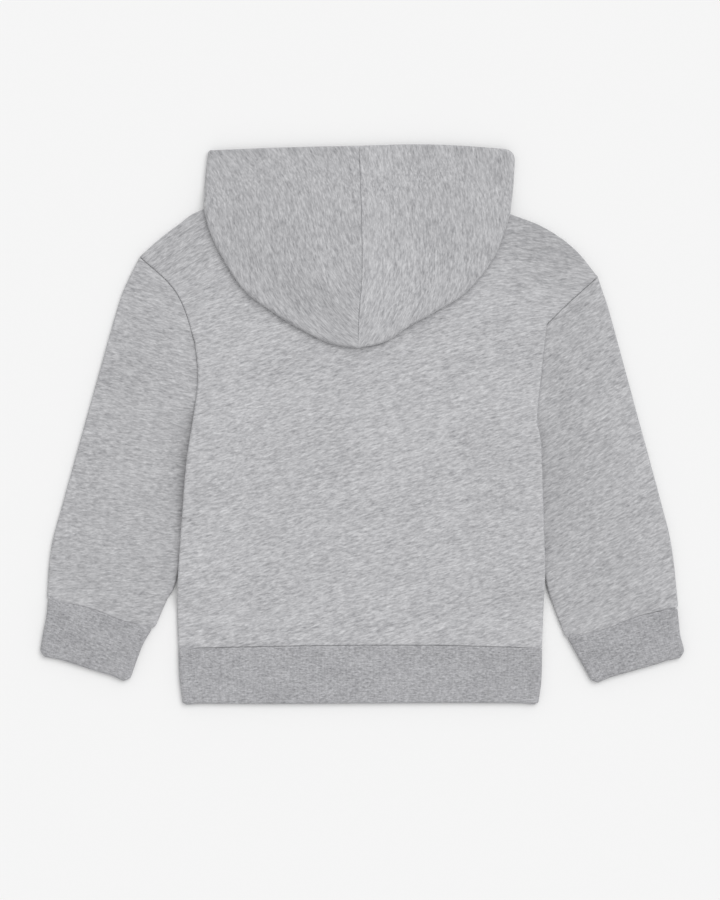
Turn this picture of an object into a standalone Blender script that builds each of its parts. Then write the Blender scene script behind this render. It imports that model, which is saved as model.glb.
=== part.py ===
"""A toddler's plain pullover hoodie, size 92 to 98, laid flat on its front with its hood thrown back.

+X runs across the shoulders, +Y from hem to hood, and +Z up from the surface that it lies on.
Sizes and tables are in millimetres. Every piece is a wall of cloth, built as rows of wall points.
"""

import math
from collections import namedtuple

import bmesh
import bpy
import numpy as np

MM = 0.001

# Cloth
FLEECE = 2.0  # thickness of the brushed loopback fleece
RIB = 2.6  # the ribbing, folded double
SEAM = 0.3  # between two pieces that are sewn edge to edge
AIR = 0.6  # between two layers that lie on each other
INSIDE = 0.3  # between the two walls of a flattened tube

# Heights of the layers over the body
BACK_LOW = FLEECE + SEAM  # underside of the back panel, where it lies on the front panel
BODY_CROWN = 1.6  # how far the back panel stands off the front panel in the middle
SLEEVE_CROWN = 2.0
HOOD_CROWN = 2.2
STRIP_RISE = 4.9  # how far the body's side is lifted by the sleeve tucked under it
FRONT_CLIMB = 4.7  # how far the front panel climbs there
OVERHANG_RISE = 2.5  # how far the fold at the armhole is lifted by the sleeve's upper wall
LIFT_END, LIFT_FADE = 156, 26  # the lift ends this far below the middle, and fades over this length

# A station is the same feature on both sides: how far out from the middle, and how far up.
Station = namedtuple("Station", "left_out left_up right_out right_up")

SHOULDER = [  # neck point, where the hood's side crosses, then down to the sleeve
    Station(64, 189, 64, 187),
    Station(126.4, 172, 118.5, 168),
    Station(146, 160, 146, 157),
    Station(162, 148, 170, 140),
    Station(178, 133.6, 188.8, 117.6),
]
BODY_SIDE = [  # from the waist up to where the fold at the armhole starts
    Station(146.9, -179.7, 144, -179.5),
    Station(147.9, -150, 145, -152),
    Station(147.2, -122, 146.4, -118),
    Station(144, -76, 144.8, -61),
    Station(140.4, -32, 143.2, -17.6),
    Station(135.2, 3, 140.2, 6),
    Station(131.3, 37, 143.6, 40),
    Station(133.6, 65, 148, 80),
]
BACK_ARMHOLE = [  # from that fold up to the shoulder
    Station(133.6, 65, 148, 80),
    Station(143.6, 95, 162.8, 94.4),
    Station(155, 112.8, 173, 103.5),
    Station(178, 133.6, 188.8, 117.6),
]
UNDER_FOLD = [  # the hidden rest of the back armhole, from the underarm point up to the fold
    Station(125, -2, 129, -5),
    Station(126, 30, 134, 35),
    Station(133.6, 65, 148, 80),
]
FRONT_ARMHOLE = [  # scooped deeper than the back one
    Station(125, -2, 129, -5),
    Station(121.3, 18, 125.3, 16),
    Station(124, 55, 131, 55),
    Station(143, 97, 155, 95),
    Station(178, 133.6, 188.8, 117.6),
]
UNDERARM_TURN = [  # the front panel's edge round the underarm point, as steps out and up from it
    (11.5, -17),
    (4, -11),
    (-0.4, -8),
    (-1.8, -1),
    (-2.9, 8),
]
SLEEVE_TOP_FOLD = [  # the sleeve's outer edge, from the shoulder to the cuff
    Station(178, 133.6, 188.8, 117.6),
    Station(188, 113.6, 193, 105),
    Station(196, 92, 198.5, 88),
    Station(217, 17.6, 217.6, 17.6),
    Station(238.4, -59.2, 238.4, -59.2),
    Station(249, -100, 247.8, -98),
    Station(252.5, -140.2, 253.3, -147.2),
]
SLEEVE_UNDER_FOLD = [  # its inner edge, from the underarm to the cuff
    Station(125, -2, 129, -5),
    Station(136, -60, 137, -60),
    Station(147.8, -123.2, 146.4, -123.2),
    Station(156.5, -141.5, 153.5, -147),
    Station(166.2, -164, 163.2, -172),
]
CUFF_SEAM = [  # from the inner edge to the outer one
    Station(166.2, -164, 163.2, -172),
    Station(200, -153.4, 197, -161),
    Station(236.8, -142.8, 230, -150.9),
    Station(252.5, -140.2, 253.3, -147.2),
]
CUFF_OUTER = [
    Station(252.9, -140.8, 253.2, -147.8),
    Station(255.2, -166, 254.4, -167),
    Station(257.5, -180.5, 257.5, -182.5),
]
CUFF_INNER = [
    Station(166.6, -164.6, 163.6, -172.6),
    Station(176, -181, 173.5, -188.5),
    Station(186.5, -203, 183.2, -205.2),
]
CUFF_END = [
    Station(186.5, -203, 183.2, -205.2),
    Station(222.4, -193.6, 220, -195.5),
    Station(257.5, -180.5, 257.5, -182.5),
]
WAIST_SEAM = [
    Station(146.9, -179.7, 144, -179.5),
    Station(70, -178, 70, -177.3),
    Station(0, -177, 0, -177),
]
WAISTBAND_SIDE = [
    Station(147, -180.4, 144.2, -180.2),
    Station(146.3, -203, 143.6, -205),
    Station(143.6, -223.6, 141.2, -223.4),
]
HEM = [
    Station(143.6, -223.6, 141.2, -223.4),
    Station(70, -224, 70, -223.2),
    Station(0, -223.6, 0, -223.6),
]
HOOD_FOLD = [  # the hood's outline from its lowest point, round the arc, to its top corner
    Station(3.2, 60.4, -3.2, 60.4),
    Station(25.6, 64.4, 21, 68),
    Station(50.4, 76.3, 40, 80),
    Station(69.6, 88.2, 60, 90.2),
    Station(94.4, 107, 82, 104),
    Station(113.5, 136, 102, 127),
    Station(122.5, 156, 111.5, 146),
    Station(126.4, 172, 118.5, 168),
]
HOOD_SIDE = [
    Station(126.4, 172, 118.5, 168),
    Station(125.6, 196, 121.4, 194),
    Station(123, 219.4, 122.6, 219.4),
]
FACE_EDGE_UNDER = [  # the free edge on the front, from the top corner down to the centre front
    Station(123, 219.4, 122.6, 219.4),
    Station(78, 207, 78, 207),
    Station(32, 184, 32, 184),
    Station(0.15, 157, 0.15, 157),
]
FACE_EDGE_MIDDLE = 222.6  # height of the free edge over the centre seam
FACE_EDGE_BOW = {"left": 0.6, "right": 3.1}

# The hood's centre seam wanders a little: how far across it lies at each height.
SEAM_UP = [60.4, 88, 120, 169, 222.6]
SEAM_ACROSS = [-3.2, -2.5, 0, -0.5, -2.5]

# How far each neckline dips below the neck points, and how square its dip is
BACK_NECK_DROP = 14
BACK_NECK_POWER = 2
FRONT_NECK_DROP = 44
FRONT_NECK_POWER = 2.2

# The hood passes from the back to the front round the shoulder seam. These are steps out and up
# from that seam: where it crosses at the hood's side, at the neck point, and just inside the neck.
SHOULDER_CLEARANCE = [(1.0, 3.2), (0.4, 3.0), (-3.4, 1.6)]
HOOD_LANDING = [2.8, 0.2]  # how high the first rows past the seam lie, before the surface
HOOD_FIRST_ROW = 6  # how far above its lowest point the hood's first row starts
CLIMB_END = 5  # how far above the underarm point the front panel is flat again

# How finely each piece is divided
TOP_POINTS = 401
SIDE_ROWS = 9
ARMHOLE_ROWS = 5
FRONT_ARMHOLE_ROWS = 8
NECK_COLUMNS = 8
SHOULDER_BREAKS = [0.2, 0.31]  # as shares of the body's width, the last at the neck point
SLEEVE_ROWS = 9
HIDDEN_ROWS = 3
TURN_STEPS = 3  # points round each fold, between its two walls
HALF_WAIST_COLUMNS = 8
WAISTBAND_ROWS = 3
CUFF_COLUMNS = 6
CUFF_ROWS = 2
HOOD_LIMB = 8
HOOD_SEAM_ROWS = 8
HOOD_NECK_ROWS = 5
HOOD_FRONT_ROWS = 5
FRONT_NECK_SHARES = [0.08, 0.25, 0.5, 0.75, 1]
FACE_EDGE_SHARES = [0.44, 0.5]  # where the columns from the shoulder end on it, and the neck's start

# Colours, as linear red, green and blue
HEATHER = (0.482, 0.482, 0.494)
RIB_HEATHER = (0.392, 0.392, 0.402)


def ease(x):
    """0 below 0, 1 above 1, and smooth between."""
    x = min(1.0, max(0.0, x))
    return x * x * (3 - 2 * x)


def unit(v):
    return v / np.linalg.norm(v)


def side_points(table, side):
    """One side of a table of stations, as points across and up."""
    if side == "left":
        return np.array([(-row.left_out, row.left_up) for row in table], float)
    return np.array([(row.right_out, row.right_up) for row in table], float)


def smooth_line(points, steps=24):
    """A fine line through a few points: a Catmull-Rom curve."""
    padded = np.vstack([2 * points[0] - points[1], points, 2 * points[-1] - points[-2]])
    line = [points[0]]
    for p0, p1, p2, p3 in zip(padded, padded[1:], padded[2:], padded[3:]):
        for step in range(1, steps + 1):
            t = step / steps
            line.append(
                0.5
                * (
                    2 * p1
                    + (p2 - p0) * t
                    + (2 * p0 - 5 * p1 + 4 * p2 - p3) * t**2
                    + (3 * p1 - p0 - 3 * p2 + p3) * t**3
                )
            )
    return np.array(line)


def along(line, shares):
    """Points on a line at these shares of its length."""
    lengths = np.concatenate([[0], np.cumsum(np.linalg.norm(np.diff(line, axis=0), axis=1))])
    at = np.asarray(shares, float) * lengths[-1]
    return np.stack([np.interp(at, lengths, line[:, axis]) for axis in (0, 1)], axis=-1)


def stretch(table, side, count):
    """Evenly spaced points along one side of a table."""
    return along(smooth_line(side_points(table, side)), np.linspace(0, 1, count + 1))


def moved_out(points, distance):
    """Points of an edge moved to the left of the way that it runs."""
    ways = np.gradient(points, axis=0)
    ways /= np.linalg.norm(ways, axis=1)[:, None]
    return points + distance * np.stack([-ways[:, 1], ways[:, 0]], axis=-1)


def solid(name, outer, inner, ring, colour):
    """A closed wall between two grids of points. With ring set, each row closes on itself. A row may
    be shorter than the next, and the wall is then closed along that step too."""
    mesh = bmesh.new()
    outside, inside = (
        [[mesh.verts.new(np.asarray(p) * MM) for p in row] for row in skin] for skin in (outer, inner)
    )
    border = {}
    for r in range(len(outside) - 1):
        columns = min(len(outside[r]), len(outside[r + 1]))
        for c in range(columns if ring else columns - 1):
            d = (c + 1) % columns
            corners = [(r, c), (r, d), (r + 1, d), (r + 1, c)]
            mesh.faces.new([outside[i][j] for i, j in corners])
            mesh.faces.new([inside[i][j] for i, j in corners[::-1]])
            for start, end in zip(corners, corners[1:] + corners[:1]):
                if border.pop((end, start), None) is None:
                    border[(start, end)] = True
    for (r, c), (i, j) in border:
        mesh.faces.new([outside[i][j], outside[r][c], inside[r][c], inside[i][j]])
    bmesh.ops.recalc_face_normals(mesh, faces=mesh.faces)
    data = bpy.data.meshes.new(name)
    mesh.to_mesh(data)
    mesh.free()
    data.shade_smooth()
    data.set_sharp_from_angle(angle=math.radians(40))
    data.materials.append(cloth(name, colour))
    piece = bpy.data.objects.new(name, data)
    bpy.context.scene.collection.objects.link(piece)
    return piece


def cloth(name, colour):
    material = bpy.data.materials.new(name)
    material.use_nodes = True
    shader = material.node_tree.nodes["Principled BSDF"]
    shader.inputs["Base Color"].default_value = (*colour, 1)
    shader.inputs["Roughness"].default_value = 0.9
    shader.inputs["Metallic"].default_value = 0
    return material


# The body's heights


def top_edge(x):
    """How far up the body's shoulder and back neck lie at x."""
    side = "left" if x < 0 else "right"
    shoulder = smooth_line(side_points(SHOULDER, side))
    neck = abs(shoulder[0][0])
    if abs(x) < neck:
        return shoulder[0][1] - BACK_NECK_DROP * (1 - (x / neck) ** 2)
    return float(np.interp(abs(x), np.abs(shoulder[:, 0]), shoulder[:, 1]))


def tucked_edge(y, side):
    """How far out the hidden inner edge of the sleeve lies, under the body's side."""
    rising = np.vstack([side_points(SLEEVE_UNDER_FOLD, side)[::-1], side_points(UNDER_FOLD, side)[1:]])
    return float(np.interp(y, rising[:, 1], np.abs(rising[:, 0])))


def front_low(x, y):
    """The front panel is flat on the surface, but climbs over the sleeve tucked under each side."""
    side = "left" if x < 0 else "right"
    underarm = side_points(UNDER_FOLD, side)[0][1]
    over_sleeve = ease((abs(x) - tucked_edge(min(y, underarm), side) + 6) / 5)
    return FRONT_CLIMB * over_sleeve * ease((underarm + CLIMB_END - y) / 11)


def back_low(x, y):
    """The back panel lies on the front panel, crowned, and is lifted by the sleeves at its sides."""
    side = "left" if x < 0 else "right"
    fold_start = side_points(BACK_ARMHOLE, side)[0][1]
    lift = OVERHANG_RISE * ease((fold_start + 20 - y) / 18)
    lift += (STRIP_RISE - OVERHANG_RISE) * ease((25 - y) / 34)
    lift *= ease((abs(x) - tucked_edge(y, side) + 30) / 23)
    lift *= ease((y + LIFT_END) / LIFT_FADE)
    crown = ease((150 - abs(x)) / 90) * ease((y + 178) / 80) * ease((top_edge(x) - y) / 60)
    return BACK_LOW + lift + BODY_CROWN * crown


# The body panels


def panel_grid(left, right, top_line, near_edges):
    """Rows of points across a panel, from the waist seam up to its shoulders and neck."""
    waist = from_side_to_side(WAIST_SEAM)
    heights = np.linspace(0, 1, len(left))
    grid = []
    for k, height in enumerate(heights):
        width = np.linalg.norm(right[k] - left[k])
        near_left, near_right = near_edges(left[k], right[k], width)
        middle = np.linspace(SHOULDER_BREAKS[1], 1 - SHOULDER_BREAKS[1], NECK_COLUMNS + 1)
        shares = [0, *near_left, SHOULDER_BREAKS[0], *middle, 1 - SHOULDER_BREAKS[0]]
        shares += [*(1 - s for s in reversed(near_right)), 1]
        weight = height**3
        row = []
        for share in shares:
            low_end = (1 - weight) * waist[0] + weight * top_line[0]
            high_end = (1 - weight) * waist[-1] + weight * top_line[-1]
            low = (1 - weight) * along(waist, share) + weight * on_top(top_line, share)
            row.append(low + (1 - share) * (left[k] - low_end) + share * (right[k] - high_end))
        grid.append(row)
    return grid


def from_side_to_side(table):
    """A line across the body, from its left side to its right one."""
    left, right = (stretch(table, side, HALF_WAIST_COLUMNS) for side in ("left", "right"))
    return np.vstack([left, right[::-1][1:]])


def on_top(top_line, share):
    """The point of the shoulders and neck at this share of the body's width."""
    shares = np.linspace(0, 1, len(top_line))
    return np.array([np.interp(share, shares, top_line[:, axis]) for axis in (0, 1)])


def top_of_panel(neck_drop, power):
    """The upper edge of a panel, from one sleeve to the other, by shares of the body's width."""
    neck_share = SHOULDER_BREAKS[1]
    left = smooth_line(side_points(SHOULDER, "left"))[::-1]
    right = smooth_line(side_points(SHOULDER, "right"))
    ends = left[-1], right[0]
    line = []
    for share in np.linspace(0, 1, TOP_POINTS):
        if share <= neck_share:
            line.append(along(left, share / neck_share))
        elif share >= 1 - neck_share:
            line.append(along(right, (share - 1 + neck_share) / neck_share))
        else:
            line.append(neck_point(ends, (share - neck_share) / (1 - 2 * neck_share), neck_drop, power))
    return np.array(line)


def neck_point(ends, share, drop, power):
    """A point of the neckline, which dips by its drop between the two neck points."""
    chord = ends[0] + (ends[1] - ends[0]) * share
    return chord - np.array([0, drop * (1 - abs(2 * share - 1) ** power)])


def wall_of(name, grid, low, thickness, colour):
    outer = [[(p[0], p[1], low(*p) + thickness) for p in row] for row in grid]
    inner = [[(p[0], p[1], low(*p)) for p in row] for row in grid]
    return solid(name, outer, inner, False, colour)


def make_back():
    left, right = (
        np.vstack([stretch(BODY_SIDE, side, SIDE_ROWS), stretch(BACK_ARMHOLE, side, ARMHOLE_ROWS)[1:]])
        for side in ("left", "right")
    )

    def near_edges(left_end, right_end, width):
        return [steps_in(end, width, 1, 16) for end in (left_end, right_end)]

    grid = panel_grid(left, right, top_of_panel(BACK_NECK_DROP, BACK_NECK_POWER), near_edges)
    wall_of("back_panel", grid, back_low, FLEECE, HEATHER)


def make_front():
    left, right = (front_edge(side) for side in ("left", "right"))

    def near_edges(left_end, right_end, width):
        return [steps_in(end, width, -0.4, 6) for end in (left_end, right_end)]

    grid = panel_grid(left, right, top_of_panel(FRONT_NECK_DROP, FRONT_NECK_POWER), near_edges)
    wall_of("front_panel", grid, front_low, FLEECE, HEATHER)


def steps_in(end, width, first, last):
    """Three columns beside an edge, two of them on either side of the tucked sleeve's edge."""
    side = "left" if end[0] < 0 else "right"
    inwards = abs(end[0]) - tucked_edge(end[1], side)
    tucked = 0 < inwards + last and end[1] < side_points(UNDER_FOLD, side)[0][1] + CLIMB_END
    near, far = (max(3.0, inwards + first), max(9.0, inwards + last)) if tucked else (4.0, 12.0)
    return [near / 2 / width, near / width, far / width]


def front_edge(side):
    """The front panel's edge: up the side just inside the back's, round the underarm, up the armhole."""
    outwards = -1 if side == "left" else 1
    underarm = side_points(UNDER_FOLD, side)[0]
    lower = stretch(BODY_SIDE, side, 40)
    lower = lower[lower[:, 1] < underarm[1] + UNDERARM_TURN[0][1] - 6] - np.array([0.6 * outwards, 0])
    lower = along(lower, np.linspace(0, 1, SIDE_ROWS - 2))
    turn = underarm + np.array(UNDERARM_TURN) * np.array([outwards, 1])
    armhole = stretch(FRONT_ARMHOLE, side, FRONT_ARMHOLE_ROWS)[1:]
    return np.vstack([lower, turn, armhole])


# The flattened tubes: sleeves, cuffs and waistband


def tube(name, upper, lower, wall, crown, colour):
    """A flattened tube. upper and lower are rows of points across its two walls, inner edge first."""
    height = 2 * wall + INSIDE
    outer, inner = [], []
    for r, (over, under) in enumerate(zip(upper, lower)):
        out_way = unit(over[-1] - over[-2])
        in_way = unit(over[0] - over[1])
        half = height / 2
        over, under = over.copy(), under.copy()
        over[0], over[-1] = over[0] - half * in_way, over[-1] - half * out_way
        under[0], under[-1] = over[0], over[-1]
        share = r / (len(upper) - 1)
        rises = [crown(c / (len(over) - 1), share) for c in range(len(over))]
        for skin, inset in ((outer, 0), (inner, wall)):
            row = [(p[0], p[1], height - inset + rise) for p, rise in zip(over, rises)]
            row += turned(over[-1], out_way, half, half - inset, 1)
            row += [(p[0], p[1], inset) for p in under[::-1]]
            row += turned(over[0], in_way, half, half - inset, -1)
            skin.append(row)
    return solid(name, outer, inner, True, colour)


def turned(centre, way, middle, radius, downwards):
    """The points of a fold between its two walls, downwards or upwards."""
    points = []
    for step in range(1, TURN_STEPS + 1):
        angle = math.pi / 2 - math.pi * step / (TURN_STEPS + 1)
        reach = centre + way * radius * math.cos(angle)
        points.append((reach[0], reach[1], middle + downwards * radius * math.sin(angle)))
    return points


def tube_rows(start, end, inner_edge, outer_edge):
    """Rows of points across one wall of a tube, blended from its four edges."""
    rows = []
    shares = np.linspace(0, 1, len(start))[:, None]
    for r, (inside, outside) in enumerate(zip(inner_edge, outer_edge)):
        t = r / (len(inner_edge) - 1)
        across = (1 - t) * start + t * end
        inside_shift = inside - ((1 - t) * start[0] + t * end[0])
        outside_shift = outside - ((1 - t) * start[-1] + t * end[-1])
        rows.append(across + (1 - shares) * inside_shift + shares * outside_shift)
    return rows


def sleeve_crown(across, down):
    """How far the upper wall stands off the lower one, by shares across and down the sleeve."""
    rounded = ease((across - 0.3) / 0.35) * ease((1 - across) / 0.3)
    return SLEEVE_CROWN * rounded * ease(down / 0.2) * ease((1 - down) / 0.15)


def make_sleeve(side):
    body_side = 1 if side == "left" else -1
    back = np.vstack(
        [stretch(UNDER_FOLD, side, HIDDEN_ROWS), stretch(BACK_ARMHOLE, side, ARMHOLE_ROWS)[1:]]
    )
    front = stretch(FRONT_ARMHOLE, side, FRONT_ARMHOLE_ROWS)
    back, front = (moved_out(edge, body_side * SEAM) for edge in (back, front))
    back[0] = front[0]
    back[-1] = front[-1]
    cuff = stretch(CUFF_SEAM, side, len(back) - 1)
    inner_edge = stretch(SLEEVE_UNDER_FOLD, side, SLEEVE_ROWS)
    outer_edge = stretch(SLEEVE_TOP_FOLD, side, SLEEVE_ROWS)
    inner_edge[0], outer_edge[0] = front[0], front[-1]
    upper = tube_rows(back, cuff, inner_edge, outer_edge)
    lower = tube_rows(front, cuff, inner_edge, outer_edge)
    tube("sleeve_" + side, upper, lower, FLEECE, sleeve_crown, HEATHER)


def make_cuff(side):
    body_side = 1 if side == "left" else -1
    seam = moved_out(stretch(CUFF_SEAM, side, CUFF_COLUMNS), body_side * 2 * SEAM)
    inner_edge = stretch(CUFF_INNER, side, CUFF_ROWS)
    outer_edge = stretch(CUFF_OUTER, side, CUFF_ROWS)
    seam[0], seam[-1] = inner_edge[0], outer_edge[0]
    wall = tube_rows(seam, stretch(CUFF_END, side, CUFF_COLUMNS), inner_edge, outer_edge)
    tube("cuff_" + side, wall, wall, RIB, lambda across, down: 0, RIB_HEATHER)


def make_waistband():
    seam, hem = (from_side_to_side(table) for table in (WAIST_SEAM, HEM))
    left, right = (stretch(WAISTBAND_SIDE, side, WAISTBAND_ROWS) for side in ("left", "right"))
    seam = seam - np.array([0, 2 * SEAM])
    wall = tube_rows(seam, hem, left, right)
    tube("waistband", wall, wall, RIB, lambda across, down: 0, RIB_HEATHER)


# The hood


def seam_across(y):
    return float(np.interp(y, SEAM_UP, SEAM_ACROSS))


def hood_low(x, y):
    """The underside of the hood where it lies on the back panel."""
    return back_low(x, y) + FLEECE + AIR


def hood_top(x, y):
    """The outer side of the hood's upper wall, away from its folds."""
    support = hood_low(x, min(y, top_edge(x))) * (1 - ease((y - top_edge(x)) / 34))
    return support + 2 * FLEECE + AIR


def neck_line(side, drop, power, shares):
    """Points of one half of a neckline, by shares of the way from the neck point to the middle."""
    ends = side_points(SHOULDER, "left")[0], side_points(SHOULDER, "right")[0]
    halves = [share / 2 if side == "left" else 1 - share / 2 for share in shares]
    return np.array([neck_point(ends, half, drop, power) for half in halves])


def hood_pocket_ends(side, outwards):
    """Where each row of the lower wall ends on the back: up the centre seam, then along the neck."""
    neck = neck_line(side, BACK_NECK_DROP, BACK_NECK_POWER, np.linspace(1, 0, HOOD_NECK_ROWS + 1))
    heights = np.linspace(SEAM_UP[0] + HOOD_FIRST_ROW, neck[0][1], HOOD_SEAM_ROWS + 1)
    seam = np.array([(seam_across(y), y) for y in heights[:-1]])
    return np.vstack([seam, neck]) + np.array([outwards * SEAM / 2, 0])


def hood_front_rows(side, outwards, fold):
    """The rows of the lower wall above the shoulder and across the front of the neck. Each starts
    at the fold, and the last is the free edge."""
    shoulder = along(smooth_line(side_points(SHOULDER, side))[:25], np.linspace(1, 0, HOOD_LIMB + 1))
    steps = np.array(SHOULDER_CLEARANCE) * np.array([outwards, 1])
    blend = np.linspace(0, 1, HOOD_LIMB + 1)[:, None]
    beside = shoulder + (1 - blend) * steps[0] + blend * steps[1]
    neck = neck_line(side, FRONT_NECK_DROP, FRONT_NECK_POWER, FRONT_NECK_SHARES)
    neck = neck + np.array([-outwards * SEAM, SEAM])
    neck[0] = shoulder[-1] + steps[2]
    neck[-1] = np.array([outwards * SEAM / 2, neck[-1][1]])
    first = np.vstack([beside, neck])
    line = smooth_line(side_points(FACE_EDGE_UNDER, side))
    limb_end, neck_start = FACE_EDGE_SHARES
    shares = [*np.linspace(0, limb_end, HOOD_LIMB + 1), *np.linspace(neck_start, 1, len(neck))]
    last = along(line, shares)
    rows = []
    for r, start in enumerate(fold):
        part = r / (len(fold) - 1)
        row = first + (last - first) * part
        shift = start - row[0]
        fade = np.linspace(1, 0, HOOD_LIMB + 1)[:, None]
        row[: HOOD_LIMB + 1] += fade * shift
        rows.append(row)
    return rows


def make_hood(side):
    outwards = -1 if side == "left" else 1
    radius = FLEECE + AIR / 2
    ends = hood_pocket_ends(side, outwards)
    on_back = len(ends)
    fold = np.vstack(
        [stretch(HOOD_FOLD, side, on_back - 1), stretch(HOOD_SIDE, side, HOOD_FRONT_ROWS)[1:]]
    )
    fold[0][0] = ends[0][0]
    ways = moved_out(fold, -outwards) - fold
    ways[0] = np.array([0, -1])
    centres = fold - radius * ways
    front = hood_front_rows(side, outwards, centres[on_back:])
    heights = np.linspace(ends[0][1], FACE_EDGE_MIDDLE, len(fold))
    outer, inner = [], []
    for j, (centre, way) in enumerate(zip(centres, ways)):
        if j < on_back:
            below = [centre + (ends[j] - centre) * c / HOOD_LIMB for c in range(HOOD_LIMB + 1)]
            lows = [hood_low(x, min(y, top_edge(x) - 0.1)) for x, y in below]
        else:
            below = front[j - on_back]
            landing = HOOD_LANDING[j - on_back] if j - on_back < len(HOOD_LANDING) else 0
            lows = [landing] * (HOOD_LIMB + 1) + [0] * (len(below) - HOOD_LIMB - 1)
        top_at_fold = lows[0] + 2 * radius
        start = np.array([seam_across(heights[j]) + outwards * SEAM / 2, heights[j]])
        above = []
        for c in range(HOOD_LIMB + 1):
            share = c / HOOD_LIMB
            point = start + (centre - start) * share
            point[1] += FACE_EDGE_BOW[side] * math.sin(math.pi * share) * (j / len(fold)) ** 4
            inside = ease(np.linalg.norm(point - centre) / 40)
            crown = HOOD_CROWN * ease(np.linalg.norm(point - centre) / 60)
            crown *= ease((FACE_EDGE_MIDDLE - point[1]) / 50)
            above.append((*point, top_at_fold + (hood_top(*point) + crown - top_at_fold) * inside))
        for skin, inset in ((outer, 0), (inner, FLEECE)):
            row = [(x, y, z - inset) for x, y, z in above]
            row += turned(centre, way, lows[0] + radius, radius - inset, 1)
            row += [(p[0], p[1], low + inset) for p, low in zip(below, lows)]
            skin.append(row)
    solid("hood_" + side, outer, inner, False, HEATHER)


def main():
    for old in list(bpy.data.objects):
        bpy.data.objects.remove(old)
    make_front()
    make_back()
    for side in ("left", "right"):
        make_sleeve(side)
        make_cuff(side)
        make_hood(side)
    make_waistband()


main()
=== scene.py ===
"""A toddler's plain grey pullover hoodie, laid flat on its front with its hood thrown back.

Each sewn piece is a thin shell of cloth on the form of its solid in the frame. Tables and sizes
are in millimetres and the meshes are in metres. Left is at -X, and the hood is at +Y.
"""

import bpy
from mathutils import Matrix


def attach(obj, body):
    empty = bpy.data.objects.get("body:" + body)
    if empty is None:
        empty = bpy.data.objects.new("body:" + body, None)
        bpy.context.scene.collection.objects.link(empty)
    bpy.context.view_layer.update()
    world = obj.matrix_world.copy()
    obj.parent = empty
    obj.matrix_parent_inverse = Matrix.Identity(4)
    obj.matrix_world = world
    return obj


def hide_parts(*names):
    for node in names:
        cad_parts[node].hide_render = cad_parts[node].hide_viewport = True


bl_info = {
    "name": "Toddler hoodie, laid flat",
    "version": (1, 0, 0),
    "blender": (4, 5, 0),
    "location": "View3D > Sidebar > Hoodie",
    "description": "Sews a grey fleece hoodie out of thin cloth shells, and sets the stage for it",
    "category": "Add Mesh",
}

import math
from collections import namedtuple

import bpy
import numpy as np

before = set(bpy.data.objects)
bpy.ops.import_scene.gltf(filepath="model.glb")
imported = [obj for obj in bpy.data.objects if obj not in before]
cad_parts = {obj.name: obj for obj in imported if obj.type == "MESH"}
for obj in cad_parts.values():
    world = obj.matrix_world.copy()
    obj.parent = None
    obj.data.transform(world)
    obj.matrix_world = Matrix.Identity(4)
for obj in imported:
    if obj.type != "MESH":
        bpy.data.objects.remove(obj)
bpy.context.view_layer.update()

MM = 0.001

# ---------------------------------------------------------------- the cut, as it lies

SEAM = 0.3  # between the front and the back panel
SEWN = 0.06  # between two edges that are sewn together
AIR = 0.6  # between two layers that lie on each other
INSIDE = 0.3  # between the two walls of a flattened tube
HOOD_AIR = 2.2  # between the two walls of the hood, at its fold
LEAST_HOOD_AIR = 0.4  # between them under a crease
STRIP_RISE = 5.9  # how far the body's side is lifted by the sleeve tucked under it
FRONT_CLIMB = 5.6  # how far the front panel climbs there
OVERHANG_RISE = 2.5  # how far the fold at the armhole is lifted by the sleeve's upper wall

# Where a height fades in: the place where it starts and the length that it takes. A length below 0
# runs down the garment or inwards.
CLIMB_FADE = (-9, 5)  # outwards, from the tucked edge of the sleeve
CLIMB_TOP = (5, -11)  # from the underarm point
OVERHANG_TOP = (20, -18)  # from the start of the armhole's fold
STRIP_TOP = (25, -34)  # up the body's side
SWELL_TOP = (25, -30)  # from the underarm point
LIFT_FADE = (-62, 55)  # outwards, from the tucked edge of the sleeve
LIFT_END = (-152, 22)  # so that the body's side comes down to the waistband
CROWN_FADES = ((150, -90), (-178, 80), (0, -60))  # at the sides, the waist and the top edge
UNEVEN_FADES = ((145, -30), (-178, 25), (0, -25))

# A station is the same feature on both sides: how far out from the middle, and how far up.
Station = namedtuple("Station", "left_out left_up right_out right_up")

# Stations where pieces meet.
SHOULDER_POINT = Station(178, 133.6, 188.8, 117.6)
FOLD_START = Station(133.6, 65, 148, 80)  # where the fold at the armhole starts
UNDERARM = Station(125, -2, 129, -5)
HOOD_CROSSING = Station(126.4, 172, 118.5, 168)  # where the hood's side crosses the shoulder
HOOD_CORNER_POINT = Station(123, 219.4, 122.6, 219.4)
WAIST_POINT = Station(146.9, -179.7, 144, -179.5)
HEM_POINT = Station(143.6, -223.6, 141.2, -223.4)
CUFF_INNER_POINT = Station(186, -205.5, 184, -206.9)
CUFF_OUTER_POINT = Station(258, -183.8, 258.4, -184.4)

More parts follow.
